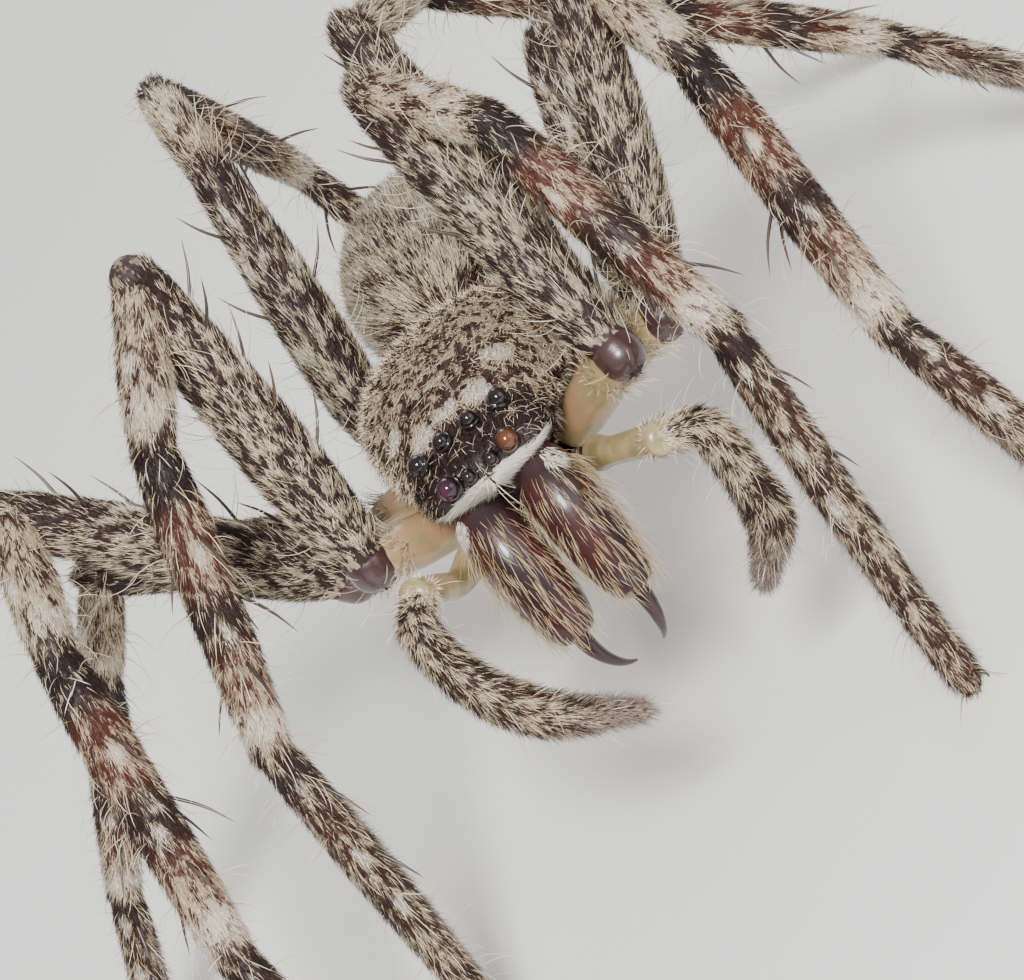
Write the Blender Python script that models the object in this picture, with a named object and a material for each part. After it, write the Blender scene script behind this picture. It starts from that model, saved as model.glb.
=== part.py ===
"""A huntsman spider as a still, life-size model, standing on its eight feet.

Metres, +Z up. The head faces -Y, the spider's left side is +X, and the feet stand on z = 0.
Places on the animal are (forward, left, up) in millimetres from the point midway between the two
front middle eyes, and are turned into the model's frame by place().
"""
import math

import bmesh
import bpy
from mathutils import Vector

MM = 0.001
GAP = 0.3                      # between pieces that touch
EYE_GAP = 0.2                  # under the small eyes
WELD = 0.002
EYE_HEIGHT = 12.1              # of the front middle eyes over the floor
EYE_X = 1.8                    # puts the middle of the whole model's box over the origin
EYE_Y = -5.9

# carapace: forward, half width, top, side margin and underside, from front to back
CARAPACE = (
    (0.14, 1.60, -0.45, -0.65, -0.90),
    (-0.10, 1.90, -0.02, -0.65, -1.20),
    (-0.50, 2.05, 0.24, -0.70, -1.75),
    (-1.20, 2.25, 0.48, -0.85, -2.45),
    (-2.20, 2.50, 0.82, -1.05, -2.80),
    (-3.40, 2.95, 1.05, -1.30, -2.95),
    (-4.70, 3.35, 1.18, -1.45, -3.00),
    (-6.00, 3.45, 1.08, -1.50, -3.00),
    (-7.20, 3.10, 0.65, -1.45, -2.95),
    (-8.10, 2.40, 0.05, -1.40, -2.75),
    (-8.65, 1.50, -0.55, -1.35, -2.30),
)
CARAPACE_SIDES = 20
TUCK = 0.30                    # how far the flanks draw in under the margin
STERNUM_TOP = -3.30
STERNUM_THICKNESS = 0.75
STERNUM_WIDTH = 4.3
STERNUM_FRONT = -2.35
STERNUM_LENGTH = 5.4

ABDOMEN_CENTRE = (-14.0, 0.2, -1.85)
ABDOMEN_HALF = (4.75, 3.15, 2.80)
ABDOMEN_PITCH = math.radians(4)
PEDICEL_UP = -2.15
PEDICEL_WIDTH = 1.1
PEDICEL_STATIONS = (-7.8, -8.8, -9.8, -10.8)
SPINNERET_AXIS = Vector((0, 1, -0.35)).normalized()
SPINNERET_INSET = 0.9            # from the abdomen's hind end forward to the base's root
SPINNERET_DROP = 0.55            # below the abdomen's long axis
SPINNERET_BASE = ((0.0, 1.7), (1.0, 1.5), (1.3, 1.2))      # (along the axis, width)
SPINNERET_CONE = ((0.0, 0.55), (0.6, 0.50), (1.0, 0.25))   # (share of the length, width)
SPINNERET_ASIDE = 0.36
SPINNERET_PAIRS = ((0.26, 1.15), (-0.26, 1.35))            # (lift, length)

# name: forward, left, up of the centre, and radius
EYES = {
    "front_middle": (0.10, 0.39, -0.13, 0.21),
    "front_side": (0.00, 1.03, -0.08, 0.34),
    "rear_middle": (-1.06, 0.48, 0.58, 0.25),
    "rear_side": (-1.18, 1.42, 0.42, 0.29),
}

CHELICERA_ROOT = (-0.25, 1.08, -1.45)
CHELICERA_TIP = (1.95, 1.10, -4.85)
# share of the length, width and depth
CHELICERA_RINGS = (
    (0.00, 1.55, 1.30),
    (0.14, 1.80, 1.95),
    (0.34, 1.88, 2.35),
    (0.58, 1.80, 2.15),
    (0.80, 1.60, 1.75),
    (0.94, 1.35, 1.35),
    (1.00, 0.95, 0.95),
)
FANG_LENGTH = 2.0
FANG_WIDTH = 0.62
FANG_TURN = math.radians(80)
FANG_STEPS = 7
FANG_TAPER = 0.82                # share of the width lost at the point
FANG_INWARD = 0.45               # how far it turns in for each part it turns back
MAXILLA_STATIONS = (             # forward, left, up, width
    (-2.2, 1.30, -3.45, 0.70),
    (-1.75, 1.28, -3.50, 0.95),
    (-1.25, 1.20, -3.60, 0.95),
    (-0.95, 1.10, -3.75, 0.70),
)
LABIUM_STATIONS = ((-2.05, -3.60, 0.80), (-1.6, -3.60, 0.85), (-1.2, -3.65, 0.60))   # forward, up, width
LABIUM_HEIGHT = 0.6

# forward, left and up of the joints: root, knee, patella end, tibia end, tarsus middle and tip
PALP_PATH = {
    "left": ((0.2, 2.85, -2.3), (2.3, 4.4, -1.7), (2.5, 5.3, -2.1), (3.0, 5.3, -3.9),
             (2.9, 5.0, -5.3), (2.6, 3.7, -6.9)),
    "right": ((0.1, -2.75, -2.4), (2.1, -3.2, -0.7), (3.0, -3.5, -0.9), (4.1, -3.4, -2.2),
              (4.9, -2.5, -4.1), (5.0, -0.6, -6.0)),
}
PALP_ROOT = (-1.0, 2.3, -2.8)
PALP_WIDTHS = (0.85, 1.15, 1.15, 1.25, 1.35, 0.95)

# lengths and widths of each leg pair's segments
LEG_SIZES = {
    1: {"femur": 10.1, "patella": 4.4, "tibia": 8.4, "metatarsus": 8.5, "tarsus": 3.1, "girth": 1.00},
    2: {"femur": 9.8, "patella": 4.4, "tibia": 9.2, "metatarsus": 8.2, "tarsus": 3.3, "girth": 1.00},
    3: {"femur": 7.9, "patella": 3.4, "tibia": 7.2, "metatarsus": 6.4, "tarsus": 2.8, "girth": 0.92},
    4: {"femur": 9.8, "patella": 3.8, "tibia": 8.6, "metatarsus": 9.2, "tarsus": 3.1, "girth": 0.94},
}
COXA_ROOT = {1: (-2.9, 2.0, -2.7), 2: (-4.4, 2.4, -2.9), 3: (-6.2, 2.4, -3.0), 4: (-7.7, 1.9, -3.0)}
FEMUR_ROOT = {1: (-1.45, 4.5, -1.1), 2: (-3.53, 5.8, -2.2), 3: (-6.15, 5.2, -2.9), 4: (-8.4, 3.6, -2.4)}
COXA_WIDTH = 1.65
TROCHANTER_WIDTH = 1.45
FEMUR_WIDTH = 2.15
PATELLA_WIDTH = 1.60
TIBIA_WIDTH = 1.60
METATARSUS_WIDTH = 1.35
TARSUS_WIDTH = 1.10
LEG_SIDES = 10
TOE_SHARE = 0.72               # of the tarsus's width at its tip
FOOT_FLAT = 0.12               # how far the foot's pad is pressed flat
CLAW_LENGTH = 0.75
CLAW_WIDTH = 0.42
CLAW_SPREAD = 0.17
CLAW_BACK = 0.50                 # from the toe's tip back to the claw's root
CLAW_REACH = 0.38                # how far its point stands out past the root
CLAW_KNUCKLE = (0.75, 0.05)      # share of the length up, and distance out, where it bends

# segment, share of its length, degrees round it from its back towards its front, and length
SPINES = (
    ("femur", 0.34, 12, 1.9),
    ("femur", 0.60, -14, 2.1),
    ("femur", 0.86, 4, 1.8),
    ("femur", 0.52, 78, 1.8),
    ("femur", 0.80, 72, 1.7),
    ("femur", 0.56, -76, 1.8),
    ("tibia", 0.30, 84, 1.9),
    ("tibia", 0.72, 80, 1.9),
    ("tibia", 0.34, -84, 1.9),
    ("tibia", 0.76, -80, 1.8),
    ("tibia", 0.52, 150, 1.9),
    ("tibia", 0.50, -152, 1.9),
    ("metatarsus", 0.16, 96, 1.8),
    ("metatarsus", 0.18, -96, 1.8),
    ("metatarsus", 0.46, 100, 1.6),
    ("metatarsus", 0.48, -100, 1.6),
)
SPINE_WIDTH = 0.5
SPINE_SINK = 0.32              # how deep its root sits under the surface
SPINE_SLANT = math.radians(48)  # from straight out towards the foot
SPINE_CLEAR = 0.45             # kept free between a spine's tip and the next leg

# degrees: heading of the leg from straight ahead to the left, lean of the leg's plane out of the
# upright, side bend at the tibia, then the pitch of each segment over the horizontal
LEG_POSE = {
    ("left", 1): (42, 27, -6, 124, -19, -56, -82, -79),
    ("right", 1): (-45, -4, -1, 102, -38, -56, -74, -74),
    ("left", 2): (73, 40, 4, 76, -66, -80, -86, -80),
    ("right", 2): (-34, -26, 1, 73, -39, -52, -61, -56),
    ("left", 3): (126, 28, -4, 51, -34, -59, -85, -60),
    ("right", 3): (-82, 4, -2, 42, -46, -50, -80, -40),
    ("left", 4): (154, 16, 0, 62, -22, -54, -63, -60),
    ("right", 4): (-168, -16, 22, 57, 27, -53, -75, -65),
}


def place(forward, left, up):
    return Vector((EYE_X + left, EYE_Y - forward, EYE_HEIGHT + up))


def clear_scene():
    for obj in list(bpy.data.objects):
        bpy.data.objects.remove(obj, do_unlink=True)


def make_material(name, colour, roughness):
    material = bpy.data.materials.new(name)
    material.use_nodes = True
    shader = material.node_tree.nodes["Principled BSDF"]
    shader.inputs["Base Color"].default_value = (*colour, 1.0)
    shader.inputs["Roughness"].default_value = roughness
    shader.inputs["Metallic"].default_value = 0.0
    return material


def make_object(name, points, faces, material):
    """One mesh object from points in millimetres, its faces turned outwards."""
    mesh = bpy.data.meshes.new(name)
    mesh.from_pydata([tuple(p * MM) for p in points], [], faces)
    shape = bmesh.new()
    shape.from_mesh(mesh)
    bmesh.ops.remove_doubles(shape, verts=shape.verts, dist=1e-7)
    bmesh.ops.recalc_face_normals(shape, faces=shape.faces)
    shape.to_mesh(mesh)
    shape.free()
    mesh.update()
    mesh.shade_smooth()
    if material:
        mesh.materials.append(material)
    obj = bpy.data.objects.new(name, mesh)
    bpy.context.collection.objects.link(obj)
    return obj


def loft(name, rings, material):
    """A closed skin over rings of equal length; its two ends are flat caps."""
    sides = len(rings[0])
    points = [p for one in rings for p in one]
    faces = []
    for r in range(len(rings) - 1):
        for s in range(sides):
            t = (s + 1) % sides
            faces.append((r * sides + s, r * sides + t, (r + 1) * sides + t, (r + 1) * sides + s))
    faces.append(tuple(reversed(range(sides))))
    faces.append(tuple(range((len(rings) - 1) * sides, len(rings) * sides)))
    return make_object(name, points, faces, material)


def oval(centre, along, dorsal, width, height, sides):
    """A ring of points across the direction along, with its height towards dorsal."""
    side = along.cross(dorsal).normalized()
    up = side.cross(along).normalized()
    points = []
    for s in range(sides):
        turn = 2 * math.pi * (s + 0.5) / sides
        points.append(centre + side * (math.cos(turn) * width / 2) + up * (math.sin(turn) * height / 2))
    return points


def apply_modifiers(obj):
    graph = bpy.context.evaluated_depsgraph_get()
    old = obj.data
    obj.data = bpy.data.meshes.new_from_object(obj.evaluated_get(graph))
    obj.modifiers.clear()
    bpy.data.meshes.remove(old)
    keep_largest(obj)


def keep_largest(obj):
    """Welds what a cut left too close together, keeps the largest closed surface, in triangles."""
    shape = bmesh.new()
    shape.from_mesh(obj.data)
    bmesh.ops.remove_doubles(shape, verts=shape.verts, dist=WELD * MM)
    bmesh.ops.dissolve_degenerate(shape, edges=shape.edges, dist=WELD * MM)
    unseen = set(shape.verts)
    pieces = []
    while unseen:
        stack = [unseen.pop()]
        piece = set(stack)
        while stack:
            for edge in stack.pop().link_edges:
                for vert in edge.verts:
                    if vert in unseen:
                        unseen.discard(vert)
                        piece.add(vert)
                        stack.append(vert)
        pieces.append(piece)
    pieces.sort(key=len)
    loose = [vert for piece in pieces[:-1] for vert in piece]
    bmesh.ops.delete(shape, geom=loose, context="VERTS")
    bmesh.ops.triangulate(shape, faces=shape.faces)
    shape.to_mesh(obj.data)
    shape.free()


def is_closed(mesh):
    shape = bmesh.new()
    shape.from_mesh(mesh)
    closed = all(edge.is_manifold for edge in shape.edges)
    shape.free()
    return closed


def combine(obj, others, operation):
    """Fuses the others to obj, or cuts them from it, and removes them."""
    group = bpy.data.collections.new(obj.name + "_tools")
    bpy.context.scene.collection.children.link(group)
    for other in others:
        for owner in list(other.users_collection):
            owner.objects.unlink(other)
        group.objects.link(other)
    before = obj.data
    for solver in ("EXACT", "MANIFOLD"):
        obj.data = before.copy()
        boolean = obj.modifiers.new("combine", "BOOLEAN")
        boolean.operation = operation
        boolean.operand_type = "COLLECTION"
        boolean.collection = group
        boolean.solver = solver
        apply_modifiers(obj)
        if is_closed(obj.data):
            break
    bpy.data.meshes.remove(before)
    for other in others:
        bpy.data.objects.remove(other, do_unlink=True)
    bpy.data.collections.remove(group)


def swollen(source, grow):
    """A copy of a form whose every face stands off by grow, as a cutter."""
    mesh = source.data.copy()
    shape = bmesh.new()
    shape.from_mesh(mesh)
    shape.normal_update()
    moved = [vert.co + vert.normal * vert.calc_shell_factor() * grow * MM for vert in shape.verts]
    for vert, spot in zip(shape.verts, moved):
        vert.co = spot
    shape.to_mesh(mesh)
    shape.free()
    cutter = bpy.data.objects.new("cutter", mesh)
    bpy.context.collection.objects.link(cutter)
    return cutter


def carapace_section(station):
    forward, half_width, top, margin, under = station
    ring = []
    for s in range(CARAPACE_SIDES):
        turn = 2 * math.pi * (s + 0.5) / CARAPACE_SIDES
        across = math.cos(turn)
        rise = math.sin(turn)
        if rise > 0:
            left = half_width * math.copysign(abs(across) ** 0.9, across)
            up = margin + (top - margin) * rise ** 0.85
        else:
            left = half_width * across * (1 - TUCK * abs(rise))
            up = margin + (margin - under) * rise
        ring.append(place(forward, left, up))
    return ring


def make_carapace(material):
    return loft("carapace", [carapace_section(one) for one in CARAPACE], material)


def make_sternum(material):
    """A shield, broad in front and pointed behind, flat above and slightly domed below."""
    outline = []
    steps = 18
    for s in range(steps):
        turn = 2 * math.pi * s / steps
        back = 0.5 * (1 - math.cos(turn))
        half = STERNUM_WIDTH / 2 * abs(math.sin(turn)) ** 0.7 * (1.12 - 0.42 * back)
        left = math.copysign(half, math.sin(turn))
        outline.append((STERNUM_FRONT - STERNUM_LENGTH * back, left))
    middle = STERNUM_FRONT - STERNUM_LENGTH / 2
    rings = []
    for share, drop in ((1.0, 0.0), (1.0, 0.55), (0.6, 1.0)):
        up = STERNUM_TOP - STERNUM_THICKNESS * drop
        rings.append([place(middle + (f - middle) * share, l * share, up) for f, l in outline])
    return loft("sternum", rings, material)


def make_abdomen(material):
    """An egg, broadest behind its middle, whose hind end tips down a little."""
    rings = []
    steps = 13
    for r in range(steps):
        turn = math.pi * (r + 0.35) / (steps - 0.3)
        along = math.cos(turn)
        round_share = math.sin(turn) ** 0.9 * (1 - 0.10 * along)
        forward = ABDOMEN_HALF[0] * along
        ring = []
        for s in range(18):
            angle = 2 * math.pi * (s + 0.5) / 18
            left = ABDOMEN_HALF[1] * round_share * math.cos(angle)
            up = ABDOMEN_HALF[2] * round_share * math.sin(angle)
            ring.append(place(ABDOMEN_CENTRE[0] + forward,
                              ABDOMEN_CENTRE[1] + left,
                              ABDOMEN_CENTRE[2] + up + forward * math.sin(ABDOMEN_PITCH)))
        rings.append(ring)
    return loft("abdomen", rings, material)


def make_pedicel(material, carapace, abdomen):
    rings = []
    for forward in PEDICEL_STATIONS:
        centre = place(forward, 0.0, PEDICEL_UP)
        rings.append(oval(centre, Vector((0, 1, 0)), Vector((0, 0, 1)), PEDICEL_WIDTH, PEDICEL_WIDTH, 10))
    pedicel = loft("pedicel", rings, material)
    combine(pedicel, [swollen(carapace, GAP), swollen(abdomen, GAP)], "DIFFERENCE")


def make_spinnerets(material, abdomen):
    """A short base with two pairs of cones at the hind end of the abdomen."""
    back = ABDOMEN_CENTRE[0] - ABDOMEN_HALF[0]
    up = ABDOMEN_CENTRE[2] - ABDOMEN_HALF[0] * math.sin(ABDOMEN_PITCH) - SPINNERET_DROP
    root = place(back + SPINNERET_INSET, ABDOMEN_CENTRE[1], up)
    dorsal = Vector((0, 0, 1))
    rings = []
    for step, width in SPINNERET_BASE:
        rings.append(oval(root + SPINNERET_AXIS * step, SPINNERET_AXIS, dorsal, width, width * 0.8, 12))
    base = loft("spinnerets", rings, material)
    cones = []
    for left in (-SPINNERET_ASIDE, SPINNERET_ASIDE):
        for lift, length in SPINNERET_PAIRS:
            start = root + SPINNERET_AXIS + Vector((left, 0, lift))
            way = (SPINNERET_AXIS + Vector((left * 0.4, 0, lift * 0.3))).normalized()
            cone_rings = []
            for share, width in SPINNERET_CONE:
                cone_rings.append(oval(start + way * share * length, way, dorsal, width, width, 6))
            cones.append(loft("cone", cone_rings, material))
    combine(base, cones, "UNION")
    combine(base, [swollen(abdomen, GAP)], "DIFFERENCE")


def make_eye(name, spot, side, material, carapace):
    """A ball cut flat just above the carapace, so that it sits in the head by nearly half."""
    forward, left, up, radius = spot
    centre = place(forward, side * left, up) * MM
    _, foot, way, _ = carapace.closest_point_on_mesh(centre)
    mesh = bpy.data.meshes.new(name)
    shape = bmesh.new()
    bmesh.ops.create_icosphere(shape, subdivisions=3, radius=radius * MM)
    bmesh.ops.translate(shape, verts=shape.verts, vec=centre)
    everything = shape.verts[:] + shape.edges[:] + shape.faces[:]
    cut = bmesh.ops.bisect_plane(shape, geom=everything, dist=1e-7, plane_co=foot + way * EYE_GAP * MM,
                                 plane_no=way, clear_inner=True)
    rim = [item for item in cut["geom_cut"] if isinstance(item, bmesh.types.BMEdge)]
    bmesh.ops.contextual_create(shape, geom=rim)
    bmesh.ops.recalc_face_normals(shape, faces=shape.faces)
    shape.to_mesh(mesh)
    shape.free()
    mesh.shade_smooth()
    mesh.materials.append(material)
    bpy.context.collection.objects.link(bpy.data.objects.new(name, mesh))


def make_chelicera(side, material, carapace):
    root = place(CHELICERA_ROOT[0], side * CHELICERA_ROOT[1], CHELICERA_ROOT[2])
    tip = place(CHELICERA_TIP[0], side * CHELICERA_TIP[1], CHELICERA_TIP[2])
    along = (tip - root).normalized()
    length = (tip - root).length
    rings = []
    for share, width, depth in CHELICERA_RINGS:
        rings.append(oval(root + along * length * share, along, Vector((0, -1, 0)), width, depth, 14))
    body = loft("chelicera_" + side_name(side), rings, material)
    combine(body, [swollen(carapace, GAP)], "DIFFERENCE")


def make_fang(side, material):
    """A hook that starts under the chelicera's tip and turns in and back."""
    root = place(CHELICERA_ROOT[0], side * CHELICERA_ROOT[1], CHELICERA_ROOT[2])
    tip = place(CHELICERA_TIP[0], side * CHELICERA_TIP[1], CHELICERA_TIP[2])
    along = (tip - root).normalized()
    across = Vector((-side * FANG_INWARD, 1.0, 0.0))
    across = (across - along * across.dot(along)).normalized()
    point = tip + along * GAP
    rings = []
    for s in range(FANG_STEPS):
        share = s / (FANG_STEPS - 1)
        turn = FANG_TURN * share
        way = along * math.cos(turn) + across * math.sin(turn)
        width = FANG_WIDTH * (1 - FANG_TAPER * share ** 1.3)
        rings.append(oval(point, way, Vector((side, 0, 0.1)), width, width * 1.1, 8))
        point = point + way * FANG_LENGTH / (FANG_STEPS - 1)
    loft("fang_" + side_name(side), rings, material)


def make_maxilla(side, material):
    rings = []
    for forward, left, up, width in MAXILLA_STATIONS:
        rings.append(oval(place(forward, side * left, up), Vector((0, -1, 0)), Vector((0, 0, 1)),
                          width, width * 0.9, 8))
    loft("maxilla_" + side_name(side), rings, material)


def make_labium(material):
    rings = []
    for forward, up, width in LABIUM_STATIONS:
        rings.append(oval(place(forward, 0.0, up), Vector((0, -1, 0)), Vector((0, 0, 1)), width,
                          LABIUM_HEIGHT, 8))
    loft("labium", rings, material)


def side_name(side):
    return "left" if side > 0 else "right"


class Tube:
    """Rings along a bent path; a joint's ring lies in the plane that halves its bend."""

    def __init__(self, points, dorsals, sides):
        self.points = points
        self.dorsals = dorsals
        self.sides = sides
        self.ways = [(b - a).normalized() for a, b in zip(points, points[1:])]

    def half_bend(self, joint):
        if joint in (0, len(self.points) - 1):
            return 0.0
        return self.ways[joint - 1].angle(self.ways[joint]) / 2

    def joint_ring(self, joint, width, back=0.0, height=None):
        """The ring at a joint; back shifts it along the path by that much on each side's way."""
        before = self.ways[max(joint - 1, 0)]
        after = self.ways[min(joint, len(self.ways) - 1)]
        along = (before + after).normalized()
        dorsal = self.dorsals[min(joint, len(self.ways) - 1)] + self.dorsals[max(joint - 1, 0)]
        shift = before * back if back < 0 else after * back
        shift = shift / math.cos(self.half_bend(joint))
        return oval(self.points[joint] + shift, along, dorsal, width, height or width, self.sides)

    def segment_rings(self, segment, profile, width, start=0.0, end=0.0, flat=1.0):
        """Rings along one segment, none nearer a bent end than its bend allows."""
        a = self.points[segment]
        b = self.points[segment + 1]
        length = (b - a).length
        way = self.ways[segment]
        low = max(start, 1.1 * width / 2 * math.tan(self.half_bend(segment)) + 0.15)
        high = length - max(end, 1.1 * width / 2 * math.tan(self.half_bend(segment + 1)) + 0.15)
        rings = []
        for share, size in profile:
            at = low + (high - low) * share
            rings.append(oval(a + way * at, way, self.dorsals[segment], width * size,
                              width * size * flat, self.sides))
        return rings


def leg_joints(side, number):
    """Joint points from the femur's root to the foot's tip, with the dorsal way of each segment."""
    sizes = LEG_SIZES[number]
    heading, lean, bend, *pitches = [math.radians(v) for v in LEG_POSE[(side_name(side), number)]]
    forward = Vector((math.sin(heading), -math.cos(heading), 0))
    level = Vector((math.cos(heading), math.sin(heading), 0))
    upright = Vector((0, 0, 1)) * math.cos(lean) + level * math.sin(lean)
    binormal = forward.cross(upright)
    lengths = [sizes[k] for k in ("femur", "patella", "tibia", "metatarsus", "tarsus")]
    root = place(FEMUR_ROOT[number][0], side * FEMUR_ROOT[number][1], FEMUR_ROOT[number][2])
    toe_radius = TARSUS_WIDTH * sizes["girth"] * TOE_SHARE / 2

    def foot_level(points):
        way = (points[-1] - points[-2]).normalized()
        return points[-1].z - toe_radius * math.hypot(way.x, way.y)

    def chain(extra):
        points = [root]
        dorsals = []
        for k, length in enumerate(lengths):
            pitch = pitches[k] + (extra if k >= 3 else 0.0)
            way = forward * math.cos(pitch) + upright * math.sin(pitch)
            up = upright * math.cos(pitch) - forward * math.sin(pitch)
            if k >= 2:
                way = way * math.cos(bend) + binormal * math.sin(bend)
            points.append(points[-1] + way * length)
            dorsals.append((up - way * up.dot(way)).normalized())
        return points, dorsals

    low = math.radians(-90) - pitches[3]
    high = math.radians(70)
    for _ in range(50):
        middle = (low + high) / 2
        if foot_level(chain(middle)[0]) > -FOOT_FLAT:
            high = middle
        else:
            low = middle
    return chain((low + high) / 2)


def cone(points, widths, across):
    """A four-sided spike through two or more points, with its last point as the tip."""
    sides = 4
    corners = []
    for k, (point, width) in enumerate(zip(points[:-1], widths)):
        corners += oval(point, (points[k + 1] - point).normalized(), across, width, width, sides)
    corners.append(points[-1])
    tip = len(corners) - 1
    faces = [tuple(reversed(range(sides)))]
    for ring in range(len(points) - 2):
        for s in range(sides):
            t = (s + 1) % sides
            faces.append((ring * sides + s, ring * sides + t, (ring + 1) * sides + t, (ring + 1) * sides + s))
    for s in range(sides):
        faces.append((tip - sides + s, tip - sides + (s + 1) % sides, tip))
    return make_object("spike", corners, faces, None)


def distance_to_path(point, path):
    best = math.inf
    for a, b in zip(path, path[1:]):
        along = b - a
        share = min(max((point - a).dot(along) / along.length_squared, 0.0), 1.0)
        best = min(best, (a + along * share - point).length)
    return best


def add_spines(obj, segments, side, number):
    """Fuses a leg piece's spines to it, without those that would come too near another leg."""
    joints, dorsals = leg_joints(side, number)
    names = ("femur", "patella", "tibia", "metatarsus", "tarsus")
    others = [leg_joints(s, n)[0] for s in (1, -1) for n in (1, 2, 3, 4) if (s, n) != (side, number)]
    others += [[place(*spot) for spot in path] for path in PALP_PATH.values()]
    bpy.context.view_layer.update()
    spikes = []
    for segment, share, turn, length in SPINES:
        if segment not in segments:
            continue
        k = names.index(segment)
        way = (joints[k + 1] - joints[k]).normalized()
        front = way.cross(dorsals[k]) * side
        angle = math.radians(turn)
        out = dorsals[k] * math.cos(angle) + front * math.sin(angle)
        axis_point = joints[k].lerp(joints[k + 1], share)
        _, surface, _, _ = obj.ray_cast(axis_point * MM, out)
        root = surface / MM
        slant = out * math.cos(SPINE_SLANT) + way * math.sin(SPINE_SLANT)
        bent = (slant + way * 0.35).normalized()
        size = length * LEG_SIZES[number]["girth"]
        waist = root + slant * size * 0.5
        tip = waist + bent * size * 0.5
        reach = min(distance_to_path(tip, path) for path in others)
        if reach < FEMUR_WIDTH / 2 + SPINE_CLEAR or tip.z < SPINE_CLEAR:
            continue
        spikes.append(cone([root - slant * SPINE_SINK, waist, tip], (SPINE_WIDTH, SPINE_WIDTH * 0.55), way))
    combine(obj, spikes, "UNION")


def add_claws(obj, side, number):
    """Two claws that hook out and down from the end of the foot."""
    joints, dorsals = leg_joints(side, number)
    way = (joints[-1] - joints[-2]).normalized()
    across = way.cross(dorsals[-1])
    out = dorsals[-1]
    spikes = []
    for left in (-CLAW_SPREAD, CLAW_SPREAD):
        root = joints[-1] - way * CLAW_BACK + across * left
        knuckle = root + out * (CLAW_LENGTH * CLAW_KNUCKLE[0]) + way * CLAW_KNUCKLE[1] + across * left * 0.5
        tip = root + out * CLAW_LENGTH + way * CLAW_REACH + across * left * 0.8
        tip.z = max(tip.z, 0.04)
        spikes.append(cone([root, knuckle, tip], (CLAW_WIDTH, CLAW_WIDTH * 0.75), way))
    combine(obj, spikes, "UNION")


def make_leg(side, number, material, carapace):
    girth = LEG_SIZES[number]["girth"]
    joints, dorsals = leg_joints(side, number)
    coxa_root = place(COXA_ROOT[number][0], side * COXA_ROOT[number][1], COXA_ROOT[number][2])
    points = [coxa_root] + joints
    first_dorsal = Vector((0, 0, 1))
    tube = Tube(points, [first_dorsal] + dorsals, LEG_SIDES)
    name = "leg_" + side_name(side) + "_" + str(number)
    half_gap = GAP / 2

    coxa = tube.segment_rings(0, ((0.0, 0.9), (0.3, 1.0), (0.72, 0.96), (0.84, 0.80), (1.0, 0.86)),
                              COXA_WIDTH * girth)
    knob = [tube.joint_ring(1, TROCHANTER_WIDTH * girth)]
    femur = tube.segment_rings(1, ((0.0, 0.72), (0.12, 0.88), (0.32, 1.0), (0.58, 0.98), (0.82, 0.84),
                                   (1.0, 0.74)), FEMUR_WIDTH * girth)
    knee = [tube.joint_ring(2, PATELLA_WIDTH * girth, -half_gap)]
    upper = loft(name + "_upper", coxa + knob + femur + knee, material)
    combine(upper, [swollen(carapace, GAP)], "DIFFERENCE")
    add_spines(upper, ("femur",), side, number)

    knee = [tube.joint_ring(2, PATELLA_WIDTH * girth * 0.96, half_gap)]
    patella = tube.segment_rings(2, ((0.0, 0.98), (0.5, 1.04), (1.0, 0.92)), PATELLA_WIDTH * girth)
    bend = [tube.joint_ring(3, TIBIA_WIDTH * girth * 0.86)]
    tibia = tube.segment_rings(3, ((0.0, 0.92), (0.2, 1.0), (0.5, 1.0), (0.8, 0.92), (1.0, 0.86)),
                               TIBIA_WIDTH * girth)
    ankle = [tube.joint_ring(4, METATARSUS_WIDTH * girth * 0.92, -half_gap)]
    middle = loft(name + "_middle", knee + patella + bend + tibia + ankle, material)
    add_spines(middle, ("tibia",), side, number)

    ankle = [tube.joint_ring(4, METATARSUS_WIDTH * girth * 0.90, half_gap)]
    metatarsus = tube.segment_rings(4, ((0.0, 0.92), (0.3, 1.0), (0.7, 0.96), (1.0, 0.84)),
                                    METATARSUS_WIDTH * girth)
    wrist = [tube.joint_ring(5, TARSUS_WIDTH * girth * 0.92)]
    tarsus = tube.segment_rings(5, ((0.0, 0.96), (0.5, 1.04), (0.88, 0.96)), TARSUS_WIDTH * girth)
    toe = [tube.joint_ring(6, TARSUS_WIDTH * girth * TOE_SHARE)]
    lower = loft(name + "_lower", ankle + metatarsus + wrist + tarsus + toe, material)
    for vert in lower.data.vertices:
        vert.co.z = max(vert.co.z, 0.0)
    add_spines(lower, ("metatarsus",), side, number)
    add_claws(lower, side, number)


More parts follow.
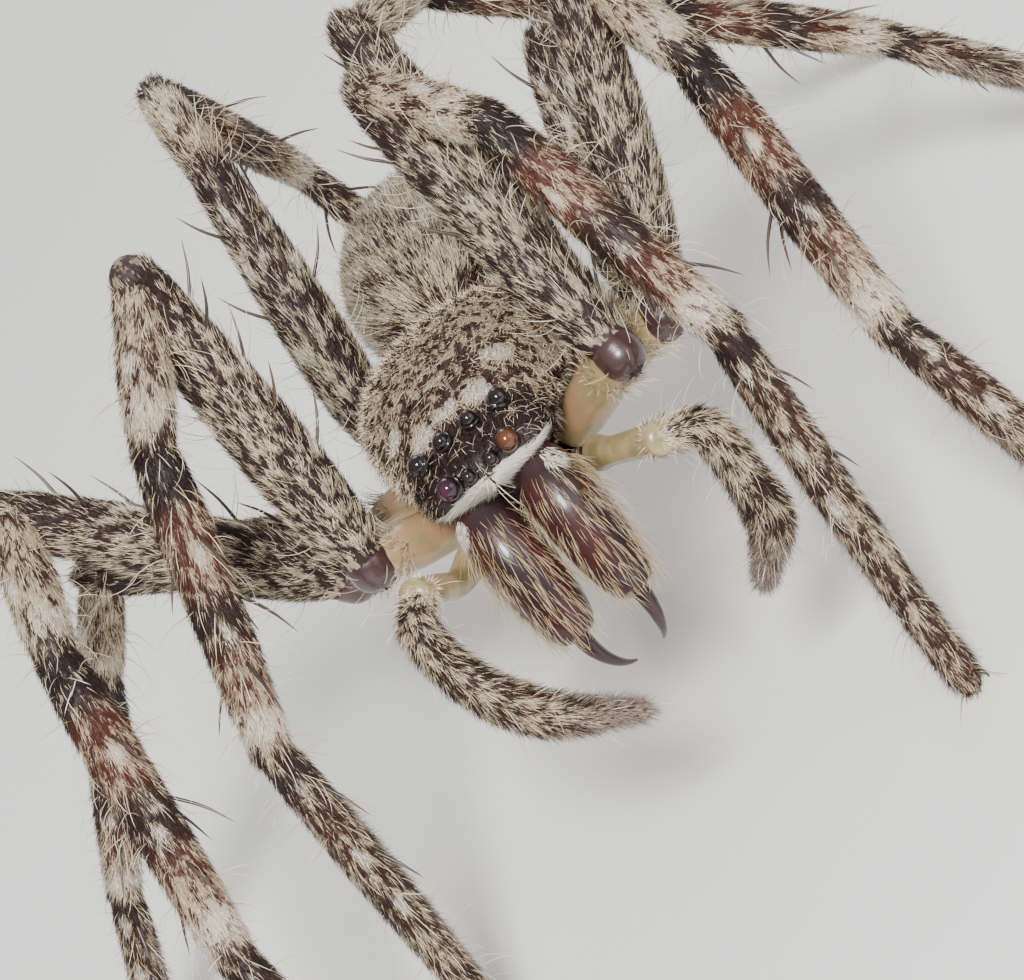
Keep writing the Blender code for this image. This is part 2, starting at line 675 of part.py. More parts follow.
def make_palp(side, material, carapace):
    """Trochanter and femur in one node; patella, tibia and tarsus in the next."""
    name = "palp_" + side_name(side)
    path = [place(*spot) for spot in PALP_PATH[side_name(side)]]
    root = place(PALP_ROOT[0], side * PALP_ROOT[1], PALP_ROOT[2])
    points = [root] + path
    dorsals = []
    for a, b in zip(points, points[1:]):
        way = (b - a).normalized()
        up = Vector((0, -0.4, 1))
        dorsals.append((up - way * up.dot(way)).normalized())
    tube = Tube(points, dorsals, LEG_SIDES)
    half_gap = GAP / 2
    base_rings = tube.segment_rings(0, ((0.0, 1.1), (1.0, 1.0)), PALP_WIDTHS[0])
    base_rings += [tube.joint_ring(1, PALP_WIDTHS[0])]
    base_rings += tube.segment_rings(1, ((0.0, 1.0), (0.6, 1.05), (1.0, 1.1)), PALP_WIDTHS[0])
    base_rings += [tube.joint_ring(2, PALP_WIDTHS[1] * 0.85, -half_gap)]
    base = loft(name + "_base", base_rings, material)
    combine(base, [swollen(carapace, GAP)], "DIFFERENCE")

    tip_rings = [tube.joint_ring(2, PALP_WIDTHS[1] * 0.9, half_gap)]
    tip_rings += [tube.joint_ring(3, PALP_WIDTHS[2])]
    tip_rings += tube.segment_rings(3, ((0.3, 1.0), (0.8, 1.0)), PALP_WIDTHS[3])
    tip_rings += [tube.joint_ring(4, PALP_WIDTHS[3] * 0.95)]
    tip_rings += tube.segment_rings(4, ((0.5, 1.0),), PALP_WIDTHS[4])
    tip_rings += [tube.joint_ring(5, PALP_WIDTHS[4])]
    tip_rings += tube.segment_rings(5, ((0.3, 1.0), (0.8, 0.95)), PALP_WIDTHS[4])
    tip_rings += [tube.joint_ring(6, PALP_WIDTHS[5] * 0.6)]
    loft(name + "_tip", tip_rings, material)


def build():
    clear_scene()
    hairy = make_material("hairy_skin", (0.30, 0.20, 0.14), 0.75)
    belly = make_material("abdomen_skin", (0.48, 0.36, 0.28), 0.80)
    shell = make_material("dark_shell", (0.07, 0.02, 0.02), 0.30)
    glass = make_material("eye_lens", (0.02, 0.01, 0.01), 0.08)
    pale = make_material("pale_shell", (0.55, 0.42, 0.26), 0.55)
    carapace = make_carapace(hairy)
    abdomen = make_abdomen(belly)
    make_sternum(pale)
    make_labium(pale)
    make_pedicel(pale, carapace, abdomen)
    make_spinnerets(belly, abdomen)
    for side in (1, -1):
        for eye, spot in EYES.items():
            make_eye("eye_" + side_name(side) + "_" + eye, spot, side, glass, carapace)
        make_chelicera(side, shell, carapace)
        make_fang(side, shell)
        make_maxilla(side, pale)
        make_palp(side, pale, carapace)
        for number in (1, 2, 3, 4):
            make_leg(side, number, hairy, carapace)


build()
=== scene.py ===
import math

import bpy
import numpy as np
from mathutils import Matrix, Vector
from mathutils.bvhtree import BVHTree


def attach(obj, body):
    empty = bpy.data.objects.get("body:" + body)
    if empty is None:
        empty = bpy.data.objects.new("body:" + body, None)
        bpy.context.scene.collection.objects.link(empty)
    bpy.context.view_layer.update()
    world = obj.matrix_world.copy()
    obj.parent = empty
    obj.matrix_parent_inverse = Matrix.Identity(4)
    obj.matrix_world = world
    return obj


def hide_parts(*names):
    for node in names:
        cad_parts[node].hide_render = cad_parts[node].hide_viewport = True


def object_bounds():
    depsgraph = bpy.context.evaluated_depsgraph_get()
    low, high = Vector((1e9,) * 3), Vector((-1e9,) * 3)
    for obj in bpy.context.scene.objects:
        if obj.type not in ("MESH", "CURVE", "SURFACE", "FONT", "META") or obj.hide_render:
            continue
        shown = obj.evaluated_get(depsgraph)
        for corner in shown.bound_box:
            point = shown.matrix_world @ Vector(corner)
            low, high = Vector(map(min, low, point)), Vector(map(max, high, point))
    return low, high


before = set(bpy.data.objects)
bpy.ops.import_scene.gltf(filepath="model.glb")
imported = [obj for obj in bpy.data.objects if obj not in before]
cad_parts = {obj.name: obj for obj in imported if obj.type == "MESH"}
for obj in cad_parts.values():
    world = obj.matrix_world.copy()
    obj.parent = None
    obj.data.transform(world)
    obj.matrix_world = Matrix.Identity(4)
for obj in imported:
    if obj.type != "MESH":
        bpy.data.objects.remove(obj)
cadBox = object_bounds()

mm = 0.001
sides = {"left": 1, "right": -1}

# the place midway between the two front middle eyes, in mm; everything on the animal is
# measured from it as (forward, left, up)
eyeSpot = np.array([1.8, -5.9, 12.1])


def place(forward, left, up):
    return np.array([eyeSpot[0] + left, eyeSpot[1] - forward, eyeSpot[2] + up])


def unit(v):
    v = np.asarray(v, float)
    return v / np.maximum(np.linalg.norm(v, axis=-1, keepdims=True), 1e-12)


def smoothTable(keys, x):
    # a smooth curve through rows of (position, value, value, ...), read at the positions x
    keys = np.asarray(keys, float)
    spots, rows = keys[:, 0], keys[:, 1:]
    slope = np.gradient(rows, spots, axis=0)
    x = np.clip(np.asarray(x, float), spots[0], spots[-1])
    k = np.clip(np.searchsorted(spots, x, side="right") - 1, 0, len(spots) - 2)
    gap = spots[k + 1] - spots[k]
    t = ((x - spots[k]) / gap)[..., None]
    gap = gap[..., None]
    return ((2 * t ** 3 - 3 * t ** 2 + 1) * rows[k] + (t ** 3 - 2 * t ** 2 + t) * gap * slope[k]
            + (3 * t ** 2 - 2 * t ** 3) * rows[k + 1] + (t ** 3 - t ** 2) * gap * slope[k + 1])


def softStep(low, high, x):
    t = np.clip((x - low) / (high - low), 0, 1)
    return t * t * (3 - 2 * t)


# camera, on the line from the eyes at which the photograph looks

shot = {
    "azimuth": 14,
    "elevation": 28,
    "roll": 47.2,
    "distance": 80.0,
    "pixelsPerMm": 38.0,          # at the eyes
    "eyesAt": (475.5, 462.7),     # the eyes' midpoint in the picture
    "picture": (1024, 980),
    "sensor": 36.0,
}


def makeCamera(s):
    azimuth, elevation, roll = (math.radians(s[k]) for k in ("azimuth", "elevation", "roll"))
    toward = Vector((math.cos(elevation) * math.sin(azimuth), -math.cos(elevation) * math.cos(azimuth),
                     math.sin(elevation)))
    level = Vector((math.cos(azimuth), math.sin(azimuth), 0))
    above = toward.cross(level)
    right = level * math.cos(roll) - above * math.sin(roll)
    up = level * math.sin(roll) + above * math.cos(roll)
    focal = s["pixelsPerMm"] * s["distance"]
    aside = s["picture"][0] / 2 - s["eyesAt"][0]
    below = s["picture"][1] / 2 - s["eyesAt"][1]
    back = -(right * aside - up * below - toward * focal).normalized()
    right = up.cross(back).normalized()
    up = back.cross(right)
    spot = Vector(eyeSpot) + toward * s["distance"]
    data = bpy.data.cameras.new("camera")
    data.sensor_width = s["sensor"]
    data.lens = focal * s["sensor"] / s["picture"][0]
    data.clip_start, data.clip_end = 0.001, 5.0
    camera = bpy.data.objects.new("camera", data)
    bpy.context.collection.objects.link(camera)
    camera.matrix_world = Matrix((
        (right.x, up.x, back.x, spot.x * mm),
        (right.y, up.y, back.y, spot.y * mm),
        (right.z, up.z, back.z, spot.z * mm),
        (0, 0, 0, 1)))
    bpy.context.scene.camera = camera


makeCamera(shot)
print("camera set")


# shader maths

class Wire:
    # an output socket that can be used in sums
    def __init__(self, tree, socket):
        self.tree, self.socket = tree, socket

    def math(self, operation, *others):
        node = self.tree.nodes.new("ShaderNodeMath")
        node.operation = operation
        for slot, value in zip(node.inputs, (self,) + others):
            feed(self.tree, slot, value)
        return Wire(self.tree, node.outputs[0])

    def __add__(self, other):
        return self.math("ADD", other)

    def __radd__(self, other):
        return self + other

    def __sub__(self, other):
        return self.math("SUBTRACT", other)

    def __rsub__(self, other):
        return (self * -1) + other

    def __mul__(self, other):
        return self.math("MULTIPLY", other)

    def __rmul__(self, other):
        return self * other


def feed(tree, slot, value):
    if isinstance(value, Wire):
        tree.links.new(value.socket, slot)
    elif isinstance(value, (tuple, list)) and len(value) == 3 and slot.type == "RGBA":
        slot.default_value = (*value, 1.0)
    else:
        slot.default_value = value


class Paint:
    # a material and the nodes that feed its shader
    def __init__(self, name, **fixed):
        self.material = bpy.data.materials.new(name)
        self.material.use_nodes = True
        self.tree = self.material.node_tree
        self.shader = self.tree.nodes["Principled BSDF"]
        for key, value in fixed.items():
            feed(self.tree, self.shader.inputs[key.replace("_", " ")], value)

    def node(self, kind, settings=None, values=None, out=0):
        node = self.tree.nodes.new("ShaderNode" + kind)
        for key, value in (settings or {}).items():
            setattr(node, key, value)
        for key, value in (values or {}).items():
            feed(self.tree, node.inputs[key], value)
        return Wire(self.tree, node.outputs[out])

    def field(self, name, out="Fac"):
        return self.node("Attribute", {"attribute_name": name}, out=out)

    def parts(self, vector):
        node = self.tree.nodes.new("ShaderNodeSeparateXYZ")
        self.tree.links.new(vector.socket, node.inputs[0])
        return [Wire(self.tree, one) for one in node.outputs]

    def stretch(self, vector, scale):
        return self.node("VectorMath", {"operation": "MULTIPLY"}, {0: vector, 1: scale})

    def mix(self, share, a, b):
        return self.node("Mix", {"data_type": "RGBA"}, {0: share, 6: a, 7: b}, 2)

    def step(self, value, low, high):
        return self.node("MapRange", {"interpolation_type": "SMOOTHSTEP"},
                         {0: value, 1: low, 2: high, 3: 0.0, 4: 1.0})

    def noise(self, vector, scale, detail=2.0, rough=0.5):
        return self.node("TexNoise", None, {"Vector": vector, "Scale": scale, "Detail": detail,
                                            "Roughness": rough})

    def put(self, **sockets):
        for key, value in sockets.items():
            feed(self.tree, self.shader.inputs[key.replace("_", " ")], value)
        return self.material

    def bump(self, height, strength, distance):
        normal = self.node("Bump", None, {"Height": height, "Strength": strength, "Distance": distance})
        self.tree.links.new(normal.socket, self.shader.inputs["Normal"])


# colours of the coat's hairs, and how they mix over the markings

coatColours = {
    "cream": (0.78, 0.65, 0.45),
    "white": (0.95, 0.86, 0.72),
    "dark": (0.022, 0.013, 0.013),
    "red": (0.105, 0.030, 0.016),
    "orange": (0.48, 0.25, 0.12),
}


def markings(paint, hair):
    # tone: x = share of cream hairs, y = redness, z = how black the dark hairs are
    spot = paint.field("spot", "Vector")
    cream, red, black = paint.parts(paint.field("tone", "Vector"))
    c = coatColours
    blotch = paint.noise(paint.stretch(spot, (3.2, 4.0, 4.0)), 1.0, 1.5, 0.45)
    fine = paint.noise(paint.stretch(spot, (4.6, 9.5, 9.5)), 1.0, 1.0, 0.5)
    share = cream - 0.10 + (blotch - 0.5) * 2.3 + (fine - 0.5) * 1.2
    if hair:
        pick = paint.field("shade")
        light = paint.step(share - pick * 0.60 + 0.27, 0.46, 0.54)
        flick = paint.field("flick")
    else:
        light = paint.step(share, 0.40, 0.75) * 0.45
        flick = paint.noise(paint.stretch(spot, (3, 14, 14)), 1.0, 1.0)
    dark = paint.mix(red * (1 - black * 0.6), c["dark"], c["red"])
    pale = paint.mix(red * 0.75 * flick, c["cream"], c["orange"])
    pale = paint.mix(paint.step(cream + flick * 0.3, 0.95, 1.15), pale, c["white"])
    colour = paint.mix(light, dark, pale)
    return colour, light


def coatPaint(name):
    paint = Paint(name, Roughness=0.52, Specular_IOR_Level=0.30)
    colour, light = markings(paint, True)
    flick = paint.field("flick")
    colour = paint.mix(0.30 * flick, colour, paint.mix(light, (0.075, 0.036, 0.028), (0.95, 0.88, 0.75)))
    paint.put(Base_Color=colour)
    return paint.material


def skinPaint(name):
    paint = Paint(name, Specular_IOR_Level=0.35)
    colour, _ = markings(paint, False)
    spot = paint.field("spot", "Vector")
    grain = paint.noise(paint.stretch(spot, (4, 18, 18)), 1.0, 3.0, 0.6)
    _, _, black = paint.parts(paint.field("tone", "Vector"))
    colour = paint.mix(black * 0.75, colour, (0.010, 0.006, 0.006))
    paint.put(Base_Color=colour, Roughness=0.45 + grain * 0.3 - black * 0.15)
    paint.bump(grain, 0.6, 0.00005)
    return paint.material


def barePaint(name):
    # the bare shell of the leg bases: olive and see-through on the coxae, purple-brown on the globes
    paint = Paint(name, Coat_Weight=0.35, Coat_Roughness=0.12, Specular_IOR_Level=0.6)
    spot = paint.field("spot", "Vector")
    kind, flush, black = paint.parts(paint.field("tone", "Vector"))
    cloud = paint.noise(spot, 1.3, 2.0)
    olive = paint.mix(paint.step(cloud, 0.35, 0.68), (0.26, 0.21, 0.09), (0.48, 0.34, 0.18))
    olive = paint.mix(flush * paint.step(cloud + flush * 0.3, 0.45, 0.85), olive, (0.20, 0.055, 0.025))
    globe = paint.mix(paint.noise(spot, 2.6, 2.0), (0.028, 0.011, 0.013), (0.070, 0.032, 0.030))
    colour = paint.mix(kind, olive, globe)
    colour = paint.mix(black, colour, (0.018, 0.013, 0.014))
    fine = paint.noise(spot, 30.0, 2.0)
    paint.put(Base_Color=colour, Roughness=0.22 + fine * 0.16)
    paint.bump(fine, 0.25, 0.00002)
    return paint.material


def plainHairPaint(name, root, tip, roughness=0.35):
    paint = Paint(name, Specular_IOR_Level=0.7)
    up = paint.field("up")
    flick = paint.field("flick")
    colour = paint.mix(paint.step(up + (flick - 0.5) * 0.6, 0.1, 0.8), root, tip)
    colour = paint.mix(0.25 * flick, colour, paint.mix(up, tip, root))
    paint.put(Base_Color=colour, Roughness=roughness + flick * 0.12)
    return paint.material


coatMaterial = coatPaint("coatHair")
skinMaterial = skinPaint("coatSkin")
bareMaterial = barePaint("bareShell")
longHairMaterial = plainHairPaint("longPaleHair", (0.50, 0.36, 0.20), (0.95, 0.86, 0.70))
bandMaterial = plainHairPaint("bandHair", (0.95, 0.87, 0.70), (0.99, 0.95, 0.86))
bristleMaterial = plainHairPaint("jawBristle", (0.42, 0.26, 0.11), (0.85, 0.70, 0.46))
padMaterial = plainHairPaint("padHair", (0.22, 0.15, 0.11), (0.52, 0.43, 0.36))
spineMaterial = plainHairPaint("spineShell", (0.035, 0.020, 0.016), (0.10, 0.06, 0.04), 0.3)
print("materials made")


# meshes

def addFields(mesh, fields):
    for name, values in fields.items():
        values = np.asarray(values, np.float32)
        kind = "FLOAT_VECTOR" if values.ndim == 2 else "FLOAT"
        layer = mesh.attributes.new(name, kind, "POINT")
        layer.data.foreach_set("vector" if values.ndim == 2 else "value", values.ravel())


def addMesh(name, points, faces, material, fields=None):
    # faces all have the same number of corners
    points = np.asarray(points, np.float32).reshape(-1, 3) * mm
    faces = np.asarray(faces, np.int32)
    mesh = bpy.data.meshes.new(name)
    mesh.vertices.add(len(points))
    mesh.vertices.foreach_set("co", points.ravel())
    mesh.loops.add(faces.size)
    mesh.loops.foreach_set("vertex_index", faces.ravel())
    mesh.polygons.add(len(faces))
    mesh.polygons.foreach_set("loop_start", np.arange(0, faces.size, faces.shape[1], dtype=np.int32))
    mesh.update(calc_edges=True)
    mesh.polygons.foreach_set("use_smooth", np.full(len(faces), True))
    mesh.materials.append(material)
    addFields(mesh, fields or {})
    obj = bpy.data.objects.new(name, mesh)
    bpy.context.collection.objects.link(obj)
    return obj


def finishPiece(obj, slotName, *nodes):
    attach(obj, "root")
    if nodes:
        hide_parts(*nodes)
    return obj


class Shell:
    # rings of points over a closed form; spot and tone are what its markings read
    def __init__(self, name, points, spot, tone, material, cell):
        self.name, self.points, self.spot, self.tone = name, points, spot, tone
        self.material, self.cell = material, cell

    def build(self):
        rings, around = self.points.shape[:2]
        index = np.arange(rings * around).reshape(rings, around)
        beside = np.roll(index, -1, axis=1)
        quads = np.stack([index[:-1], beside[:-1], beside[1:], index[1:]], -1).reshape(-1, 4)
        first, last = index.size, index.size + 1
        caps = [np.stack([beside[0], index[0], np.full(around, first)], -1),
                np.stack([index[-1], beside[-1], np.full(around, last)], -1)]
        tris = np.concatenate([quads[:, [0, 1, 2]], quads[:, [0, 2, 3]], *caps])

        def closed(a):
            return np.concatenate([a.reshape(-1, 3), a[0].mean(0)[None], a[-1].mean(0)[None]])

        points = closed(self.points)
        a, b, c = (points[tris[:, k]] for k in range(3))
        if np.einsum("ij,ij->i", a, np.cross(b, c)).sum() < 0:
            tris = tris[:, ::-1]
        return addMesh(self.name, points, tris, self.material,
                       {"spot": closed(self.spot), "tone": closed(self.tone)})

    def scatter(self, count, weight=None):
        # random roots with their normal, the way along the rings, spot, tone and place on the unwrap
        p = self.points
        q = np.roll(p, -1, axis=1)
        area = np.linalg.norm(np.cross(q[1:] - p[:-1], p[1:] - q[:-1]), axis=-1)
        if weight is not None:
            area = area * weight[:-1]
        rings, around = area.shape
        chosen = rng.choice(area.size, count, p=(area / area.sum()).ravel())
        i, j = np.divmod(chosen, around)
        k = (j + 1) % around
        u, v = rng.random((2, count, 1))

        def blend(a):
            here, beyond = (a[row, j] * (1 - v) + a[row, k] * v for row in (i, i + 1))
            return here * (1 - u) + beyond * u

        way = unit((p[i + 1, j] - p[i, j]) * (1 - v) + (p[i + 1, k] - p[i, k]) * v)
        aside = unit((p[i, k] - p[i, j]) * (1 - u) + (p[i + 1, k] - p[i + 1, j]) * u)
        normal = unit(np.cross(way, aside))
        centre = p.mean(axis=1)
        out = blend(p) - (centre[i] * (1 - u) + centre[i + 1] * u)
        normal *= np.sign(np.einsum("ij,ij->i", normal, out))[:, None]
        share = (i + u[:, 0]) / rings
        return {"root": blend(p), "normal": normal, "way": way, "spot": blend(self.spot),
                "tone": blend(self.tone), "place": np.stack([share, (j + v[:, 0]) / around], -1),
                "cell": np.full(count, self.cell), "along": share}


def joinRoots(groups):
    return {key: np.concatenate([g[key] for g in groups]) for key in groups[0]}


def keepRoots(roots, keep):
    return {key: value[keep] for key, value in roots.items()}


rng = np.random.default_rng(11)
unwrapCells = 8      # cells along each side of the unwrap, one cell for each kind of shell
patchSize = 0.003    # of one hair on the unwrap


def strandMesh(name, paths, widths, normals, material, fields, places, cells, flat=0.6, sides=3):
    # tapering hairs through the points of each path; the last point is the tip
    count, steps = paths.shape[:2]
    way = unit(paths[:, 1] - paths[:, 0])
    across = unit(np.cross(way, normals))
    above = unit(np.cross(across, way))
    turns = 2 * np.pi * (np.arange(sides) + 0.25) / sides
    ring = (across[:, None] * np.cos(turns)[:, None] + above[:, None] * np.sin(turns)[:, None] * flat) / 2
    widths = np.broadcast_to(widths, (count, steps - 1))
    rings = paths[:, :-1, None] + ring[:, None] * widths[:, :, None, None]
    points = np.concatenate([rings.reshape(count, -1, 3), paths[:, -1:]], axis=1)
    each = points.shape[1]
    faces = [(0, k + 1, k) for k in range(1, sides - 1)]
    for s in range(steps - 2):
        for k in range(sides):
            a, b = sides * s + k, sides * s + (k + 1) % sides
            faces += [(a, b, b + sides), (a, b + sides, a + sides)]
    last = each - 1 - sides
    faces += [(last + k, last + (k + 1) % sides, each - 1) for k in range(sides)]
    faces = np.array(faces)
    tris = (faces[None] + (np.arange(count) * each)[:, None, None]).reshape(-1, 3)
    spread = {key: np.repeat(np.asarray(value)[:, None], each, axis=1).reshape((-1,) + np.shape(value)[1:])
              for key, value in fields.items()}
    height = np.append(np.repeat(np.linspace(0, 1, steps)[:-1], sides), 1.0)
    spread["up"] = np.tile(height, count)
    obj = addMesh(name, points, tris, material, spread)
    # each hair is a patch at its root's place on the unwrap of the skin
    column, row = np.divmod(np.asarray(cells), unwrapCells)
    base = (np.stack([column, row], -1) + 0.04 + np.asarray(places) * 0.9) / unwrapCells
    corner = np.array([(0, 0), (1, 0), (0.5, 1)]) * patchSize * 0.5
    shift = np.array([(k % 2, (k // 2) % 2) for k in range(len(faces))]) * patchSize * 0.5
    uv = base[:, None, None] + corner[None, None] + shift[None, :, None]
    layer = obj.data.uv_layers.new(name="OFBake")
    layer.data.foreach_set("uv", uv.astype(np.float32).ravel())
    return obj


def growCoat(name, roots, s, slotName="hairy_skin", material=coatMaterial):
    # s: length and width, lift off the skin, sway across it and bend in degrees, and points in each hair
    count = len(roots["root"])
    length = s["length"] * np.clip(1 + rng.normal(0, s.get("uneven", 0.25), (count, 1)), 0.4, 1.9)
    lift = np.radians(s["lift"]) * np.clip(1 + rng.normal(0, 0.35, (count, 1)), 0.1, 2.2)
    sway = np.radians(s["sway"]) * rng.normal(0, 1, (count, 1))
    normal = roots["normal"]
    way = unit(roots["way"] - normal * np.einsum("ij,ij->i", roots["way"], normal)[:, None])
    aside = np.cross(normal, way)
    level = way * np.cos(sway) + aside * np.sin(sway)
    steps = s.get("steps", 2)
    paths = [roots["root"] - normal * s.get("sink", 0.03)]
    spot = roots["root"]
    for k in range(1, steps):
        turn = lift - np.radians(s.get("bend", 0)) * (k - 1) / max(steps - 2, 1)
        start = spot if k > 1 else roots["root"]
        spot = start + (level * np.cos(turn) + normal * np.sin(turn)) * length / (steps - 1)
        paths.append(spot)
    paths = np.stack(paths, axis=1)
    paths[..., 2] = np.maximum(paths[..., 2], 0.01)
    # none stands far over the solids' box
    low = paths[..., 2].max(axis=1) < cadBox[1][2] / mm + 0.25
    paths, normal, roots, count = paths[low], normal[low], keepRoots(roots, low), int(low.sum())
    widths = s["width"] * np.clip(1 + rng.normal(0, 0.2, (count, 1)), 0.5, 1.6)
    taper = np.linspace(1.0, 0.55, steps - 1)[None]
    fields = {"spot": roots["spot"], "tone": roots["tone"], "shade": rng.random(count),
              "flick": rng.random(count)}
    return finishPiece(strandMesh(name, paths, widths * taper, normal, material, fields, roots["place"],
                                  roots["cell"], s.get("flat", 0.6)), slotName)


def handRoots(points, normals, ways, cell, places=None):
    # roots at given points, not scattered over a shell
    count = len(points)
    places = rng.random((count, 2)) if places is None else places
    return {"root": points, "normal": normals, "way": np.broadcast_to(ways, (count, 3)), "spot": points,
            "tone": np.zeros((count, 3)), "place": places, "cell": np.full(count, cell),
            "along": np.zeros(count)}


# the legs: the same joints as the solids', with the skin a coat's depth inside them

coatDepth = 0.11
segmentNames = ("coxa", "femur", "patella", "tibia", "metatarsus", "tarsus")
legLengths = {
    1: {"femur": 10.1, "patella": 4.4, "tibia": 8.4, "metatarsus": 8.5, "tarsus": 3.1, "girth": 1.00},
    2: {"femur": 9.8, "patella": 4.4, "tibia": 9.2, "metatarsus": 8.2, "tarsus": 3.3, "girth": 1.00},
    3: {"femur": 7.9, "patella": 3.4, "tibia": 7.2, "metatarsus": 6.4, "tarsus": 2.8, "girth": 0.92},
    4: {"femur": 9.8, "patella": 3.8, "tibia": 8.6, "metatarsus": 9.2, "tarsus": 3.1, "girth": 0.94},
}
coxaRoot = {1: (-2.9, 2.0, -2.7), 2: (-4.4, 2.4, -2.9), 3: (-6.2, 2.4, -3.0), 4: (-7.7, 1.9, -3.0)}
femurRoot = {1: (-1.45, 4.5, -1.1), 2: (-3.53, 5.8, -2.2), 3: (-6.15, 5.2, -2.9), 4: (-8.4, 3.6, -2.4)}
# heading, lean and side bend of each leg, and the pitch of its segments, in degrees
legPose = {
    ("left", 1): (42, 27, -6, 124, -19, -56, -82, -79),
    ("right", 1): (-45, -4, -1, 102, -38, -56, -74, -74),
    ("left", 2): (73, 40, 4, 76, -66, -80, -86, -80),
    ("right", 2): (-34, -26, 1, 73, -39, -52, -61, -56),
    ("left", 3): (126, 28, -4, 51, -34, -59, -85, -60),
    ("right", 3): (-82, 4, -2, 42, -46, -50, -80, -40),
    ("left", 4): (154, 16, 0, 62, -22, -54, -63, -60),
    ("right", 4): (-168, -16, 22, 57, 27, -53, -75, -65),
}
tarsusWidth = 1.10
toeShare = 0.72
footFlat = 0.12

# width, then (share of the length, share of the width) along each segment
legProfiles = {
    "coxa": (1.65, ((0.0, 0.92), (0.3, 1.0), (0.70, 0.98), (0.86, 0.84), (1.0, 0.80))),
    "femur": (2.15, ((0.0, 0.66), (0.06, 0.72), (0.14, 0.87), (0.32, 1.0), (0.58, 0.98), (0.82, 0.87),
                     (0.94, 0.80), (1.0, 0.72))),
    "patella": (1.60, ((0.0, 0.94), (0.2, 0.98), (0.5, 1.03), (0.85, 0.96), (1.0, 0.86))),
    "tibia": (1.60, ((0.0, 0.84), (0.07, 0.92), (0.2, 1.0), (0.5, 1.0), (0.8, 0.94), (1.0, 0.84))),
    "metatarsus": (1.35, ((0.0, 0.86), (0.06, 0.92), (0.3, 1.0), (0.7, 0.97), (1.0, 0.86))),
    "tarsus": (1.10, ((0.0, 0.90), (0.1, 0.97), (0.5, 1.03), (0.88, 0.96), (1.0, 0.78))),
}

# along the leg, with 0 the coxa's root and each segment 1 long: cream share, redness, blackness
legBands = (
    (0.00, 0.55, 0.1, 0.0), (1.00, 0.55, 0.1, 0.1), (1.30, 0.50, 0.1, 0.3), (1.70, 0.50, 0.12, 0.3),
    (1.86, 0.42, 0.2, 0.5), (1.95, 0.32, 0.2, 0.8), (2.04, 0.60, 0.3, 0.3), (2.20, 0.74, 0.4, 0.2),
    (2.50, 0.66, 0.4, 0.3), (2.86, 0.82, 0.3, 0.2), (2.96, 0.50, 0.3, 0.6), (3.02, 0.24, 0.1, 1.0),
    (3.14, 0.25, 0.2, 0.9), (3.20, 0.40, 0.8, 0.3), (3.32, 0.50, 0.9, 0.2), (3.44, 0.50, 0.8, 0.2),
    (3.50, 0.32, 0.5, 0.7), (3.62, 0.32, 0.5, 0.7), (3.68, 0.46, 0.8, 0.2), (3.80, 0.72, 0.7, 0.1),
    (3.97, 0.84, 0.5, 0.0), (4.02, 0.36, 0.3, 0.8), (4.12, 0.34, 0.4, 0.8), (4.20, 0.42, 0.5, 0.5),
    (4.60, 0.48, 0.4, 0.5), (4.90, 0.58, 0.4, 0.3), (5.00, 0.48, 0.4, 0.4), (5.30, 0.48, 0.4, 0.3),
    (6.00, 0.50, 0.4, 0.1),
)
# white spots at the spines' feet: place along the leg, degrees round it from the back to the front
legSpots = ((3.34, 70), (3.36, -68), (3.60, 62), (3.62, -60), (4.14, 55), (4.44, 60), (4.16, -55),
            (4.46, -60), (4.64, 66), (1.36, 50), (1.66, 55), (1.84, 30), (1.62, -50), (2.5, 20))


def legJoints(side, number):
    sizes = legLengths[number]
    heading, lean, bend, *pitches = [math.radians(v) for v in legPose[(side, number)]]
    forward = np.array([math.sin(heading), -math.cos(heading), 0])
    level = np.array([math.cos(heading), math.sin(heading), 0])
    upright = np.array([0, 0, 1]) * math.cos(lean) + level * math.sin(lean)
    binormal = np.cross(forward, upright)
    lengths = [sizes[k] for k in segmentNames[1:]]
    f, l, u = femurRoot[number]
    root = place(f, sides[side] * l, u)
    toeRadius = tarsusWidth * sizes["girth"] * toeShare / 2

    def chain(extra):
        points, dorsals = [root], []
        for k, length in enumerate(lengths):
            pitch = pitches[k] + (extra if k >= 3 else 0)
            way = forward * math.cos(pitch) + upright * math.sin(pitch)
            above = upright * math.cos(pitch) - forward * math.sin(pitch)
            if k >= 2:
                way = way * math.cos(bend) + binormal * math.sin(bend)
            points.append(points[-1] + way * length)
            dorsals.append(unit(above - way * (above @ way)))
        return points, dorsals

    low, high = math.radians(-90) - pitches[3], math.radians(70)
    for _ in range(50):
        middle = (low + high) / 2
        points = chain(middle)[0]
        way = unit(points[-1] - points[-2])
        if points[-1][2] - toeRadius * math.hypot(way[0], way[1]) > -footFlat:
            high = middle
        else:
            low = middle
    points, dorsals = chain((low + high) / 2)
    f, l, u = coxaRoot[number]
    return [place(f, sides[side] * l, u)] + points, [np.array([0, 0, 1.0])] + dorsals


